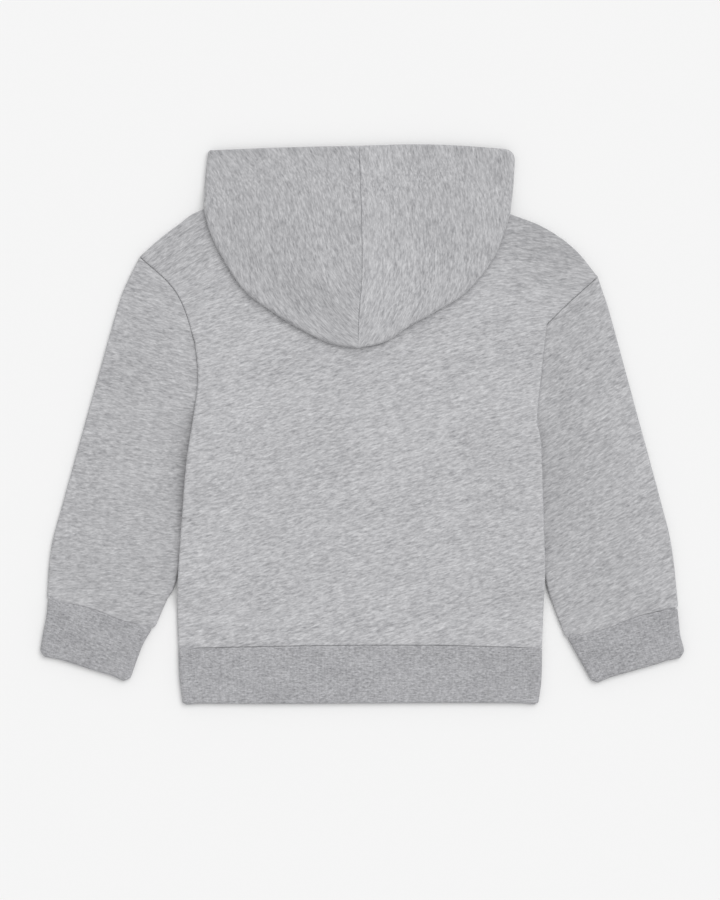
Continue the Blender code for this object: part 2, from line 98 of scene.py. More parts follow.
SHOULDER = [  # neck point, where the hood's side crosses, then down to the sleeve
    Station(64, 189, 64, 187), HOOD_CROSSING, Station(146, 160, 146, 157),
    Station(162, 148, 170, 140), SHOULDER_POINT,
]
BODY_SIDE = [  # from the waist up
    WAIST_POINT, Station(147.9, -150, 145, -152), Station(147.2, -122, 146.4, -118),
    Station(144, -76, 144.8, -61), Station(140.4, -32, 143.2, -17.6), Station(135.2, 3, 140.2, 6),
    Station(131.3, 37, 143.6, 40), FOLD_START,
]
BACK_ARMHOLE = [  # from its fold up to the shoulder
    FOLD_START, Station(143.6, 95, 162.8, 94.4), Station(155, 112.8, 173, 103.5), SHOULDER_POINT,
]
UNDER_FOLD = [  # the hidden rest of the back armhole, from the underarm point up to the fold
    UNDERARM, Station(126, 30, 134, 35), FOLD_START,
]
FRONT_ARMHOLE = [  # scooped deeper than the back one
    UNDERARM, Station(121.3, 18, 125.3, 16), Station(124, 55, 131, 55), Station(143, 97, 155, 95),
    SHOULDER_POINT,
]
# The front panel's edge round the underarm point, as steps out and up from it, and the share of the
# armhole that it takes up.
UNDERARM_TURN = [(11.5, -17), (4, -11), (-0.4, -8), (-1.8, -1), (-2.9, 8)]
TURN_END = 1 / 8
SLEEVE_TOP_FOLD = [  # the sleeve's outer edge, from the shoulder to the cuff
    SHOULDER_POINT, Station(188, 113.6, 193, 105), Station(196, 92, 198.5, 88),
    Station(217, 17.6, 217.6, 17.6), Station(238.4, -59.2, 238.4, -59.2),
    Station(249, -100, 247.8, -98), Station(252.5, -140.2, 253.3, -147.2),
]
SLEEVE_UNDER_FOLD = [  # its inner edge, from the underarm to the cuff
    UNDERARM, Station(136, -60, 137, -60), Station(147.8, -123.2, 146.4, -123.2),
    Station(156.5, -141.5, 153.5, -147), Station(166.2, -164, 163.2, -172),
]
CUFF_SEAM = [  # the end of the sleeve, from the inner edge to the outer one
    Station(166.2, -163.7, 162, -170.8), Station(194.2, -156.3, 192.8, -164.4),
    Station(212.8, -148.8, 210.4, -157.4), Station(234.1, -143.4, 230, -151.5),
    Station(252.8, -139.9, 254.2, -147.4),
]
CUFF_SEAM_SHARES = (0.03, 0.985)  # of the sleeve's end, which the cuff draws in
CUFF_OUTER = [
    Station(251.4, -141.2, 252.6, -148.3), Station(252.8, -154.2, 253.6, -158.4),
    Station(255.4, -167.4, 254.7, -168.8), Station(257.4, -179.4, 257.4, -179), CUFF_OUTER_POINT,
]
CUFF_INNER = [
    Station(168.6, -164.9, 164.8, -171.9), Station(174.2, -174.1, 168.8, -179.2),
    Station(178.2, -183.5, 176, -192), Station(183.4, -198.1, 180.5, -200), CUFF_INNER_POINT,
]
CUFF_END = [
    CUFF_INNER_POINT, Station(212, -197.9, 210, -199.6), Station(234.1, -190.9, 238, -191.5),
    CUFF_OUTER_POINT,
]
WAIST_SEAM = [WAIST_POINT, Station(70, -178, 70, -177.3), Station(0, -177, 0, -177)]
WAISTBAND_SIDE = [Station(147, -180.4, 144.2, -180.2), Station(146.3, -203, 143.6, -205), HEM_POINT]
HEM = [HEM_POINT, Station(70, -224, 70, -223.2), Station(0, -223.6, 0, -223.6)]
HOOD_FOLD = [  # the hood's outline from its lowest point, round the arc, to its side
    Station(3.2, 60.4, -3.2, 60.4), Station(25.6, 64.4, 18.5, 65.6), Station(50.4, 76.3, 38, 78),
    Station(69.6, 88.2, 60, 90.2), Station(94.4, 107, 82, 104), Station(113.5, 136, 102, 127),
    Station(122.5, 156, 111.5, 146), HOOD_CROSSING,
]
HOOD_SIDE = [HOOD_CROSSING, Station(125.6, 196, 121.4, 194), HOOD_CORNER_POINT]
FACE_EDGE_UNDER = [  # the free edge on the front, from the top corner down to the centre front
    HOOD_CORNER_POINT, Station(78, 207, 78, 207), Station(32, 184, 32, 184),
    Station(0.15, 157, 0.15, 157),
]
FACE_EDGE_MIDDLE = 222.6  # height of the free edge over the centre seam
FACE_EDGE_BOW = {"left": 0.6, "right": 3.1}

# The hood's centre seam wanders a little: how far across it lies at each height.
SEAM_UP = [60.4, 88, 120, 169, FACE_EDGE_MIDDLE]
SEAM_ACROSS = [-3.2, -2.5, 0, -0.5, -2.5]

BACK_NECK_DROP, BACK_NECK_POWER = 14, 2
FRONT_NECK_DROP, FRONT_NECK_POWER = 44, 2.2
NECK_SHARE = 0.31  # of the body's width, on each side of the neck

# Steps out and up, from the shoulder seam to the hood's first row in front of it: at the fold, at the
# neck point, and round the neck point.
SHOULDER_CLEARANCE = [(1.0, 3.2), (0.4, 3.0), (-3.4, 1.6)]
HOOD_LANDING = [2.8, 0.2]  # how high the first rows past the shoulder lie, before the surface
HOOD_CORNER = {"left": 2.6, "right": 8}  # radius at the top corner
HOOD_FIRST_ROW = 6  # how far above its lowest point the hood's first row starts
FACE_EDGE_LIMB_SHARE = 0.44  # how much of the free edge lies beside the shoulder

# Rows of the hood's solid: up the centre seam, along the neck, and past the shoulder.
HOOD_SEAM_ROWS, HOOD_NECK_ROWS, HOOD_FRONT_ROWS = 8, 5, 5
SHOULDER_ROW = HOOD_SEAM_ROWS + HOOD_NECK_ROWS
HOOD_ROWS = SHOULDER_ROW + HOOD_FRONT_ROWS
LIMB_COLUMNS, EXTRA_COLUMNS = 34, 43  # beside the shoulder, and on round the neck
SUPPORT_END = 34  # how far past the body's top edge the hood has come down
HOOD_RISE, HOOD_CROWN_RISE, HOOD_ROLL_RISE = 40, 60, 7  # from the fold until each has its height
HOOD_CROWN_END, HOOD_ROLL_END = 50, 60  # from the face edge until each has its height
HOOD_UNEVEN = (10, 8, 8)  # from the fold, the seam and the face edge until its waves have theirs
HOOD_CREASED = (6, 4)  # from the fold and the face edge until its creases have theirs
HEM_GROOVE_AT, HEM_GROOVE_WIDTH = 4.6, 0.9  # from the face edge
FACE_SEAM_SHARE, FACE_SEAM_FADE = 0.25, (2, 6)  # how deep the centre seam is at the face edge
FREE_EDGE_RADIUS, FREE_EDGE_DROP = 1.2, 0.6  # of the lower wall's edge at the face

# A crease is a soft trough (a depth below 0) or ridge from one point to another, bent to one side.
Crease = namedtuple("Crease", "x y to_x to_y depth width bend")
BACK_CREASES = [
    Crease(-128, -60, -60, -20, -0.25, 9, 6),
    Crease(118, -120, 60, -60, 0.2, 10, -5),
    Crease(-100, 60, -40, 40, 0.2, 12, 4),
    Crease(128, 60, 70, 85, -0.25, 8, 4),
]
SLEEVE_CREASES = {
    "left": [
        Crease(-139, 38, -153, -135, -1.2, 9, 0),
        Crease(-168, 40, -205, 20, -0.3, 9, 4),
        Crease(-185, -60, -225, -40, 0.25, 10, -4),
    ],
    "right": [
        Crease(151, 84, 153.5, -130, -1.1, 9, 2),
        Crease(172, 60, 200, 30, -0.3, 9, -4),
        Crease(190, -50, 228, -70, 0.25, 10, 4),
    ],
}
HOOD_CREASES = {
    "left": [
        Crease(-92, 160, -42, 104, -0.8, 10, 5),
        Crease(-70, 128, -6, 70, -1.3, 8, 4),
        Crease(-20, 110, -80, 130, 0.25, 11, 4),
        Crease(-60, 200, -100, 150, -0.2, 10, 5),
    ],
    "right": [
        Crease(88, 140, 44, 98, -0.7, 9, -4),
        Crease(66, 112, 8, 70, -1.2, 7, -3),
        Crease(20, 105, 70, 128, 0.25, 11, -4),
        Crease(50, 205, 95, 160, -0.2, 10, -5),
    ],
}
SLEEVE_CORNERS = (0, 0, 4, 3)  # radii, at the start and at the end, inner edge first
CUFF_CORNERS = (0, 0, 4, 4)
WAISTBAND_CORNERS = (0, 0, 1, 1)

# Where a sleeve is bunched under the body's side: how far up, how far it reaches, and its height.
Bunch = namedtuple("Bunch", "side y reach height")
BUNCHES = [Bunch("left", -24, 46, 4.4), Bunch("right", 50, 40, 3), Bunch("right", -50, 50, 0.8)]

RIB_COLUMNS = {"cuff": 180, "waistband": 580}  # across each wall, five or six to a rib
PUCKER_REACH, PUCKER_END, UNDER_PUCKER_REACH = 5.5, 1.6, 6  # how far the gathers run up from the cuff
PUCKER_SLOPE = 0.35  # how far they lean
SLEEVE_SEEDS = {"left": 2, "right": 5}  # of its unevenness
ARMHOLE_POINTS = (28, 46)  # on its hidden and on its shown part

# Where a sleeve's crown and its cloth's unevenness fade in, as shares of its width and its length.
CROWN_INNER, CROWN_OUTER, CROWN_ENDS = (0.16, 0.4), (1, -0.3), (0.2, 0.15)
SLEEVE_FOLDS, RIB_FOLDS = (0.08, 0.08), (0.03, 0.03)
SLEEVE_START, SLEEVE_END, RIB_START = 12, 8, 8  # and as lengths
RIB_SHARPNESS, RIB_SINK, RIB_PAST_END = 0.7, 1.5, 0.4  # of a ridge, and where it sinks into a seam
RIB_UNEVENNESS = 0.35  # of the fleece's

# About how long the edges are, for the number of points along them.
PANEL_WIDTH, BACK_EDGE_LENGTH, FRONT_EDGE_LENGTH = 290, 340, 350
SLEEVE_LENGTH, CUFF_LENGTH, WAISTBAND_LENGTH = 250, 42, 43
HOOD_WIDTH, HOOD_BACK_LENGTH, HOOD_FRONT_LENGTH = 115, 180, 46

WAIST_POWER = 3  # how long the rows of a panel stay like its waist
FRONT_INSET, FRONT_TURN_GAP = 0.6, 6  # of the front panel's side, from the back's and before its turn
UNDER_RADIUS, LEAST_WALL = 0.5, 0.2  # of a panel at its seams

# The most that an edge rounds away, as a share of the cloth, and how far its other face goes with it.
PANEL_DROP, PANEL_UNDER, TUBE_DROP, HOOD_DROP, HOOD_FOLD_DROP = 0.65, 0.3, 0.75, 0.7, 0.5
TUBE_FOLLOW, HOOD_FOLLOW = -0.15, -0.2

# A soft patch of painted shade, where the colour is darkened to stand in for the shading of the hood's top
# band and arc, of the shoulders beside the hood and of the sleeve's top; one patch on the hood's right half
# is painted light.
# Its columns: its middle, its reach along and across, the turn of that reach in degrees, and how much
# lighter the colour is made there.
ShadePatch = namedtuple("ShadePatch", "x y along across turn share")
PAINTED_SHADE_PATCHES = {
    "hood_left": [ShadePatch(-60, 226, 120, 62, 0, -0.05), ShadePatch(-46, 103, 11, 46, 54, -0.065)],
    "hood_right": [
        ShadePatch(84, 200, 70, 62, -20, -0.085),
        ShadePatch(62, 98, 8, 42, -59, -0.05),
        ShadePatch(26, 104, 34, 30, 0, 0.05),
    ],
    "back_panel": [ShadePatch(-152, 148, 46, 32, 35, -0.095), ShadePatch(150, 146, 50, 34, -35, -0.145)],
    "sleeve_right": [ShadePatch(170, 95, 34, 60, 0, -0.02)],
}

# How the knit lies on each piece: the way that its courses run in degrees from +X at a middle point,
# the turn of that way per millimetre along the courses and across them, the growth of that turn along
# them (the bow), and a factor on the piece's whole colour that is painted shade, making the sleeves, cuffs,
# waistband and hood darker than the body as if less light fell on them.
Lie = namedtuple("Lie", "x y way turn_along turn_across bow nap")
LIE = {
    "front_panel": Lie(0, 0, 15, 0, 0, 0, 1),
    "back_panel": Lie(0, 0, 15, 0, 0, 0, 1),
    "sleeve_left": Lie(-195, 0, -8, 0, -0.0012, 0, 0.931),
    "sleeve_right": Lie(200, 0, 29, 0, 0.0004, 0, 0.935),
    "cuff_left": Lie(-210, -180, -17, 0, 0, 0, 0.915),
    "cuff_right": Lie(210, -180, 15, 0, 0, 0, 0.912),
    "waistband": Lie(0, -200, 1, 0, 0, 0, 0.947),
    "hood_left": Lie(-60, 150, 102, -0.0009, 0, 0.0001, 0.93),
    "hood_right": Lie(60, 150, 92, 0.0045, 0, -0.00004, 0.975),
}
DROOP_START, DROOP_SLOPE, DROOP_TURN = 118, 0.23, 30  # of a panel's courses over its shoulders
DROOP_FADE = (60, 70)

OUTWARDS = {"left": -1, "right": 1}

# ---------------------------------------------------------------- lines and grids


def mm(key):
    """One of the hoodie's sizes, in millimetres."""
    return getattr(bpy.context.scene.hoodie_sizes, key) / MM


def ease(x):
    """0 below 0, 1 above 1, and smooth between."""
    x = np.clip(x, 0, 1)
    return x * x * (3 - 2 * x)


def fade(x, start, over):
    """0 on one side of a start, and 1 from a length beyond it."""
    return ease((x - start) / over)


def within(share, first, last):
    """1 along a share from 0 to 1, fading to 0 over these parts of it at its ends."""
    return ease(share / first) * ease((1 - share) / last)


def bell(distance, reach):
    """1 at no distance, falling away over a reach."""
    return np.exp(-((distance / reach) ** 2))


def unit(way):
    return way / np.linalg.norm(way)


def side_points(table, side):
    """One side of a table of stations, as points across and up."""
    places = [row[:2] if side == "left" else row[2:] for row in table]
    return np.array(places, float) * (OUTWARDS[side], 1)


LINE_STEPS = 24  # between two stations of a line


def smooth_line(points, steps=LINE_STEPS):
    """A fine line through a few points: a Catmull-Rom curve."""
    padded = np.vstack([2 * points[0] - points[1], points, 2 * points[-1] - points[-2]])
    line = [points[:1]]
    t = (np.arange(1, steps + 1) / steps)[:, None]
    for p0, p1, p2, p3 in zip(padded, padded[1:], padded[2:], padded[3:]):
        curved = (2 * p0 - 5 * p1 + 4 * p2 - p3) * t**2 + (3 * p1 - p0 - 3 * p2 + p3) * t**3
        line.append(0.5 * (2 * p1 + (p2 - p0) * t + curved))
    return np.vstack(line)


def run_of(line):
    """How far along a line each of its points lies."""
    return np.cumsum(np.insert(np.linalg.norm(np.diff(line, axis=0), axis=1), 0, 0))


def along(line, shares):
    """Points on a line at these shares of its length."""
    lengths = run_of(line)
    at = np.asarray(shares, float) * lengths[-1]
    return np.stack([np.interp(at, lengths, line[:, axis]) for axis in (0, 1)], axis=-1)


def side_line(table, side):
    return smooth_line(side_points(table, side))


def moved_left(points, distance):
    """Points of an edge moved to the left of the way that it runs."""
    ways = np.gradient(points, axis=0)
    ways /= np.linalg.norm(ways, axis=1)[:, None]
    return points + distance * np.stack([-ways[:, 1], ways[:, 0]], axis=-1)


PITCH, RIB_PITCH = 2.2, 1.6  # between the rows of points
EDGE_STEPS = [0, 0.25, 0.55, 0.95, 1.45, 2.1, 3.0, 4.2]  # where a rounded edge needs its points


def edge_shares(length, step, first=True, last=True):
    """Shares of a length about one step apart, and closer together at its rounded ends."""
    steps = np.array(EDGE_STEPS) / length
    low = steps if first else np.array([0.0])
    high = 1 - steps[::-1] if last else np.array([1.0])
    count = max(2, int((high[0] - low[-1]) * length / step))
    return np.concatenate([low[:-1], np.linspace(low[-1], high[0], count), high[1:]])


def rounded(distance, radius):
    """How far a rounded edge has dropped at this distance from it."""
    inside = np.clip(1 - distance / radius, 0, 1)
    return radius * (1 - np.sqrt(1 - inside**2))


def from_ends(grid, axis):
    """How far each point of a grid lies from the first and from the last point of its line."""
    steps = np.linalg.norm(np.diff(grid, axis=axis), axis=-1)
    run = np.cumsum(np.insert(steps, 0, 0, axis=axis), axis=axis)
    return run, np.take(run, [-1], axis=axis) - run


def corner_pulls(near_side, near_top, radius):
    """How far points near a corner are drawn in, along its top and along its side, for their
    distances from its side and from its top."""
    u, v = (np.clip(1 - distance / radius, 0, 1) for distance in (near_side, near_top))
    return [(radius * a * (1 - np.sqrt(1 - b**2 / 2)))[..., None] for a, b in ((u, v), (v, u))]


def rounded_corners(grid, corners):
    """A grid whose corners are drawn in to these radii: first row first and last, last row first
    and last."""
    grid = grid.copy()
    from_rows, from_columns = from_ends(grid, 0), from_ends(grid, 1)
    for place, radius in enumerate(corners):
        if not radius:
            continue
        last_row, last_column = divmod(place, 2)
        row, column = -last_row, -last_column
        across = unit(grid[row, column] - grid[row, (3, -4)[last_column]])
        upwards = unit(grid[row, column] - grid[(3, -4)[last_row], column])
        pulls = corner_pulls(from_columns[last_column], from_rows[last_row], radius)
        grid -= pulls[0] * across + pulls[1] * upwards
    return grid


def corner_drawn_in(points, corner, side_way, top_way, radius):
    """Points near a corner of the outline, drawn in so that the corner has this radius. The ways run
    from the corner along its side and along its top."""
    to_ways = np.linalg.inv(np.array([top_way, side_way]).T)
    reach = (points[..., :2] - corner) @ to_ways.T
    pulls = corner_pulls(reach[..., 0], reach[..., 1], radius)
    moved = points.copy()
    moved[..., :2] += pulls[0] * top_way + pulls[1] * side_way
    return moved


def blended_rows(start, end, first_edge, last_edge, shares, power=1):
    """Rows of points across a piece, blended from its four edges. shares are those of its columns,
    and a power above 1 keeps the rows like the start for longer."""
    t = (height_shares(first_edge, last_edge) ** power)[:, None, None]
    rows = (1 - t) * start + t * end
    to_first, to_last = first_edge[:, None] - rows[:, :1], last_edge[:, None] - rows[:, -1:]
    s = shares[None, :, None]
    return rows + (1 - s) * to_first + s * to_last


def height_shares(first_edge, last_edge):
    """How far up a piece each of its rows lies, as a share."""
    runs = [run_of(edge) for edge in (first_edge, last_edge)]
    return sum(run / run[-1] for run in runs) / len(runs)


# ---------------------------------------------------------------- heights over the surface


def of_sides(x, left, right):
    return np.where(x < 0, left, right)


def top_edge(x):
    """How far up the body's shoulders and back neck lie at x."""
    heights = []
    for side in OUTWARDS:
        line = side_line(SHOULDER, side)
        neck_x, neck_y = abs(line[0][0]), line[0][1]
        neck = neck_y - BACK_NECK_DROP * (1 - (x / neck_x) ** 2)
        shoulder = np.interp(abs(x), abs(line[:, 0]), line[:, 1])
        heights.append(np.where(abs(x) < neck_x, neck, shoulder))
    return of_sides(x, *heights)


def above_underarm(x, y):
    return y - of_sides(x, UNDERARM.left_up, UNDERARM.right_up)


def past_tucked_edge(x, y):
    """How far out from the hidden inner edge of the sleeve, which lies under the body's side."""
    edges = []
    for side in OUTWARDS:
        under_sleeve, armhole = side_line(SLEEVE_UNDER_FOLD, side), side_line(UNDER_FOLD, side)
        rising = np.vstack([under_sleeve[::-1], armhole[1:]])
        edges.append(np.interp(y, rising[:, 1], abs(rising[:, 0])))
    return abs(x) - of_sides(x, *edges)


def side_swell(x, y):
    """How much higher the body's side stands where the sleeve is bunched under it."""
    swell = np.zeros_like(x)
    for bunch in BUNCHES:
        beside = of_sides(x, bunch.side == "left", bunch.side == "right")
        swell += beside * bunch.height * bell(y - bunch.y, bunch.reach)
    return swell


def front_low(x, y):
    """The front panel is flat on the surface, but climbs over the sleeve tucked under each side."""
    height = above_underarm(x, y)
    over_sleeve = fade(past_tucked_edge(x, y - np.maximum(height, 0)), *CLIMB_FADE)
    return (FRONT_CLIMB + side_swell(x, y)) * over_sleeve * fade(height, *CLIMB_TOP)


def on_middle(x, y, sides, waist, top):
    """1 on the middle of the back panel, fading out to its sides, its waist and its top edge."""
    return fade(abs(x), *sides) * fade(y, *waist) * fade(y - top_edge(x), *top)


def back_low(x, y):
    """The back panel lies on the front panel, crowned, and is lifted by the sleeves at its sides."""
    fold_start = of_sides(x, FOLD_START.left_up, FOLD_START.right_up)
    lift = OVERHANG_RISE * fade(y - fold_start, *OVERHANG_TOP)
    lift = lift + (STRIP_RISE - OVERHANG_RISE) * fade(y, *STRIP_TOP)
    lift = lift + side_swell(x, y) * fade(above_underarm(x, y), *SWELL_TOP)
    lift = lift * fade(past_tucked_edge(x, y), *LIFT_FADE) * fade(y, *LIFT_END)
    return mm("fleece") + SEAM + lift + mm("body_crown") * on_middle(x, y, *CROWN_FADES)


def creased(x, y, creases):
    """The sum of some soft creases at these points."""
    total = np.zeros_like(x)
    for c in creases:
        way = np.array([c.to_x - c.x, c.to_y - c.y])
        length = np.hypot(*way)
        way = way / length
        on = ((x - c.x) * way[0] + (y - c.y) * way[1]) / length
        off = (y - c.y) * way[0] - (x - c.x) * way[1] - c.bend * np.sin(np.pi * np.clip(on, 0, 1))
        total += c.depth * bell(off, c.width) * within(on, 0.35, 0.35)
    return total


def undulation(x, y, seed):
    """The slight unevenness of laid cloth, between -1 and 1."""
    turn = 0.7 * seed
    waves = [(0.061, 0.034, 1.0), (-0.037, 0.071, 0.8), (0.113, -0.052, 0.45), (0.045, 0.127, 0.4)]
    total = sum(
        size * np.sin(a * x + b * y + turn * (k + 1) + 1.3 * np.sin(b * x - a * y + seed))
        for k, (a, b, size) in enumerate(waves)
    )
    return total / sum(size for a, b, size in waves)


# ---------------------------------------------------------------- walls of cloth


def wall_faces(present, ring):
    """The faces of a wall between two grids of points, of which some are present, closed at their free
    edges. The points are numbered row by row, the outer grid's first."""
    index = np.arange(present.size).reshape(present.shape)
    ahead = np.roll(index, -1, axis=1)
    quads = np.stack([index[:-1], ahead[:-1], ahead[1:], index[1:]], axis=-1)
    whole = present.ravel()[quads].all(axis=-1)
    if not ring:
        whole[:, -1] = False
    quads = quads[whole]
    starts, ends = quads.ravel(), np.roll(quads, -1, axis=1).ravel()
    free = ~np.isin(starts * index.size + ends, ends * index.size + starts)
    starts, ends = starts[free], ends[free]
    rims = np.stack([ends, starts, starts + index.size, ends + index.size], axis=-1)
    return np.vstack([quads, quads[:, ::-1] + index.size, rims])


def facing_out(points, faces):
    """Faces turned so that the wall isn't inside out."""
    a, b, c, d = (points[faces[:, k]] for k in range(4))
    volume = np.einsum("ij,ij->", a, np.cross(b, c)) + np.einsum("ij,ij->", a, np.cross(c, d))
    return faces if volume > 0 else faces[:, ::-1]


def wall_mesh(name, outer, inner, ring):
    """A closed wall between two grids of points, which may have gaps (not a number) at their ends.
    With ring set, each row closes on itself."""
    faces = wall_faces(np.isfinite(outer[..., 0]), ring)
    used, faces = np.unique(faces, return_inverse=True)
    points = np.vstack([outer.reshape(-1, 3), inner.reshape(-1, 3)])[used]
    faces = facing_out(points, faces.reshape(-1, 4))
    mesh = bpy.data.meshes.new(name)
    mesh.vertices.add(len(points))
    mesh.vertices.foreach_set("co", (points * MM).astype(np.float32).ravel())
    mesh.loops.add(faces.size)
    mesh.loops.foreach_set("vertex_index", faces.astype(np.int32).ravel())
    mesh.polygons.add(len(faces))
    mesh.polygons.foreach_set("loop_start", np.arange(0, faces.size, 4, dtype=np.int32))
    mesh.polygons.foreach_set("use_smooth", np.ones(len(faces), bool))
    mesh.update(calc_edges=True)
    mesh.validate()
    knit = mesh.attributes.new("knit", "FLOAT_VECTOR", "POINT")
    knit.data.foreach_set("vector", (knit_coordinates(name, points) * MM).astype(np.float32).ravel())
    # Painted shade: a factor on the colour at each point, from the piece's factor and the soft shade
    # patches.
    nap = mesh.attributes.new("nap", "FLOAT", "POINT")
    nap.data.foreach_set("value", painted_shade_of(name, points).astype(np.float32))
    return mesh


def shoulder_droop(x, y):
    """How far the courses of a panel fall where its shoulders slope away."""
    beyond = abs(x) - DROOP_START
    return DROOP_SLOPE * (beyond + np.hypot(beyond, DROOP_TURN)) * fade(y, *DROOP_FADE)


def along_and_across(points, middle, degrees):
    """Points from a middle, along a way that is turned from +X and across it."""
    turn = np.radians(degrees)
    x, y = points[:, 0] - middle.x, points[:, 1] - middle.y
    return x * np.cos(turn) + y * np.sin(turn), y * np.cos(turn) - x * np.sin(turn)


def knit_coordinates(name, points):
    """The cloth's own coordinates at each point, from the way that its courses run."""
    lie = LIE[name]
    run, rise = along_and_across(points, lie, lie.way)
    turning = lie.turn_along * run**2 / 2 + lie.turn_across * run * rise + lie.bow * run**3 / 3
    across = rise - turning
    if name in ("front_panel", "back_panel"):
        across = across + shoulder_droop(points[:, 0], points[:, 1])
    return np.stack([run, across, points[:, 2]], axis=-1)


def painted_shade_of(name, points):
    """The painted shade and light at each point: the piece's factor on its colour, times the soft patches
    that darken it where shade falls or lighten it.
    """
    light = np.full(len(points), float(LIE[name].nap))
    for patch in PAINTED_SHADE_PATCHES.get(name, []):
        u, v = along_and_across(points, patch, patch.turn)
        light *= 1 + patch.share * bell(u, patch.along) * bell(v, patch.across)
    return light


def add_piece(name, mesh, material):
    """Puts a sewn piece on the frame in place of its plain solid."""
    if not mesh.polygons:
        raise RuntimeError(f"{name} has no cloth")
    piece = bpy.data.objects.new(name + "_cloth", mesh)
    bpy.context.scene.collection.objects.link(piece)
    mesh.materials.append(material)
    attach(piece, "root")
    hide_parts(name)
    return piece


# ---------------------------------------------------------------- front and back panels


def neck_points(shares, drop, power):
    """Points of a neckline from the left neck point to the right one, dipping by its drop."""
    ends = side_points(SHOULDER, "left")[0], side_points(SHOULDER, "right")[0]
    shares = np.asarray(shares, float)[..., None]
    dip = drop * (1 - abs(2 * shares - 1) ** power)
    return ends[0] + (ends[1] - ends[0]) * shares - dip * np.array([0, 1])


def top_of_panel(shares, drop, power):
    """The upper edge of a panel, from sleeve to sleeve, at these shares of the body's width."""
    left = along(side_line(SHOULDER, "left")[::-1], np.clip(shares / NECK_SHARE, 0, 1))
    right = along(side_line(SHOULDER, "right"), np.clip((shares - 1 + NECK_SHARE) / NECK_SHARE, 0, 1))
    neck = neck_points(np.clip((shares - NECK_SHARE) / (1 - 2 * NECK_SHARE), 0, 1), drop, power)
    chosen = shares[:, None]
    return np.where(chosen <= NECK_SHARE, left, np.where(chosen >= 1 - NECK_SHARE, right, neck))


def waist_line(table, shares):
    line = np.vstack([side_line(table, "left"), side_line(table, "right")[::-1][1:]])
    return along(line, shares)


def panel_grid(left, right, drop, power):
    """Rows of points across a panel, from the waist seam up to its shoulders and neck."""
    shares = edge_shares(PANEL_WIDTH, PITCH)
    for corner in (NECK_SHARE, 1 - NECK_SHARE):
        shares[np.argmin(abs(shares - corner))] = corner
    top, bottom = top_of_panel(shares, drop, power), waist_line(WAIST_SEAM, shares)
    return blended_rows(bottom, top, left, right, shares, WAIST_POWER)


def back_edge(side):
    """The back panel's edge: up the side to the fold at the armhole, then along the armhole."""
    lower, upper = side_line(BODY_SIDE, side), side_line(BACK_ARMHOLE, side)
    return along(np.vstack([lower, upper[1:]]), edge_shares(BACK_EDGE_LENGTH, PITCH))


def front_edge(side):
    """The front panel's edge: up the side just inside the back's, round the underarm, up the armhole."""
    underarm = side_points([UNDERARM], side)[0]
    turn = underarm + np.array(UNDERARM_TURN) * (OUTWARDS[side], 1)
    lower = side_line(BODY_SIDE, side)
    lower = lower[lower[:, 1] < turn[0, 1] - FRONT_TURN_GAP] - (FRONT_INSET * OUTWARDS[side], 0)
    armhole = along(side_line(FRONT_ARMHOLE, side), np.linspace(TURN_END, 1, 60))
    turn = smooth_line(np.vstack([lower[-1], turn, armhole[0]]), 10)
    return along(np.vstack([lower, turn[1:], armhole[1:]]), edge_shares(FRONT_EDGE_LENGTH, PITCH))


def panel_shell(name, grid, low, relief):
    """A panel with rounded edges, on its low side and with its relief on top."""
    thickness, seam = mm("fleece"), mm("seam_radius")
    x, y = grid[..., 0], grid[..., 1]
    to_side = np.minimum(*from_ends(grid, 1))
    from_waist, from_top = from_ends(grid, 0)
    side_drop = rounded(to_side, mm("side_radius"))
    drop = rounded(from_waist, seam) + side_drop + rounded(from_top, seam)
    under = side_drop + rounded(np.minimum(from_waist, from_top), UNDER_RADIUS)
    lows = low(x, y)
    outer_z = lows + thickness - np.minimum(drop, PANEL_DROP * thickness) + relief(x, y)
    inner_z = np.minimum(lows + np.minimum(under, PANEL_UNDER * thickness), outer_z - LEAST_WALL)
    return wall_mesh(name, *(np.dstack([x, y, z]) for z in (outer_z, inner_z)), False)


def back_relief(x, y):
    uneven = mm("unevenness") * undulation(x, y, 1) * on_middle(x, y, *UNEVEN_FADES)
    return uneven + creased(x, y, BACK_CREASES)


def front_relief(x, y):
    """On the hidden side only the cloth's inner face shows, so its outer face stays plain."""
    return np.zeros_like(x)


# ---------------------------------------------------------------- sleeves, cuffs and waistband

FOLD_POINTS = 9  # round each fold, between its two walls
PRESS = 1.2  # how far a crease can press the cloth's face in, while its back stays
DRAWN_WIDTH = 14  # how far in from a fold its wall's points are moved


def turned(centre, way, middle, radius, downwards):
    """The points of a fold between two walls, downwards or upwards, for each row."""
    angles = np.pi / 2 - np.pi * np.arange(1, FOLD_POINTS + 1) / (FOLD_POINTS + 1)
    radius = np.reshape(radius, (-1, 1))
    reach = centre[:, None] + (way * radius)[:, None] * np.cos(angles)[:, None]
    height = np.reshape(middle, (-1, 1)) + downwards * radius * np.sin(angles)
    return np.dstack([reach, height])


def drawn_in(grid, distance, ways):
    """A wall's grid with its two side edges drawn in, to leave room for the folds beside them."""
    for reach, way in zip(from_ends(grid, 1), ways):
        share = np.clip(1 - reach / DRAWN_WIDTH, 0, 1)[..., None]
        grid = grid - distance * share * way[:, None]
    return grid


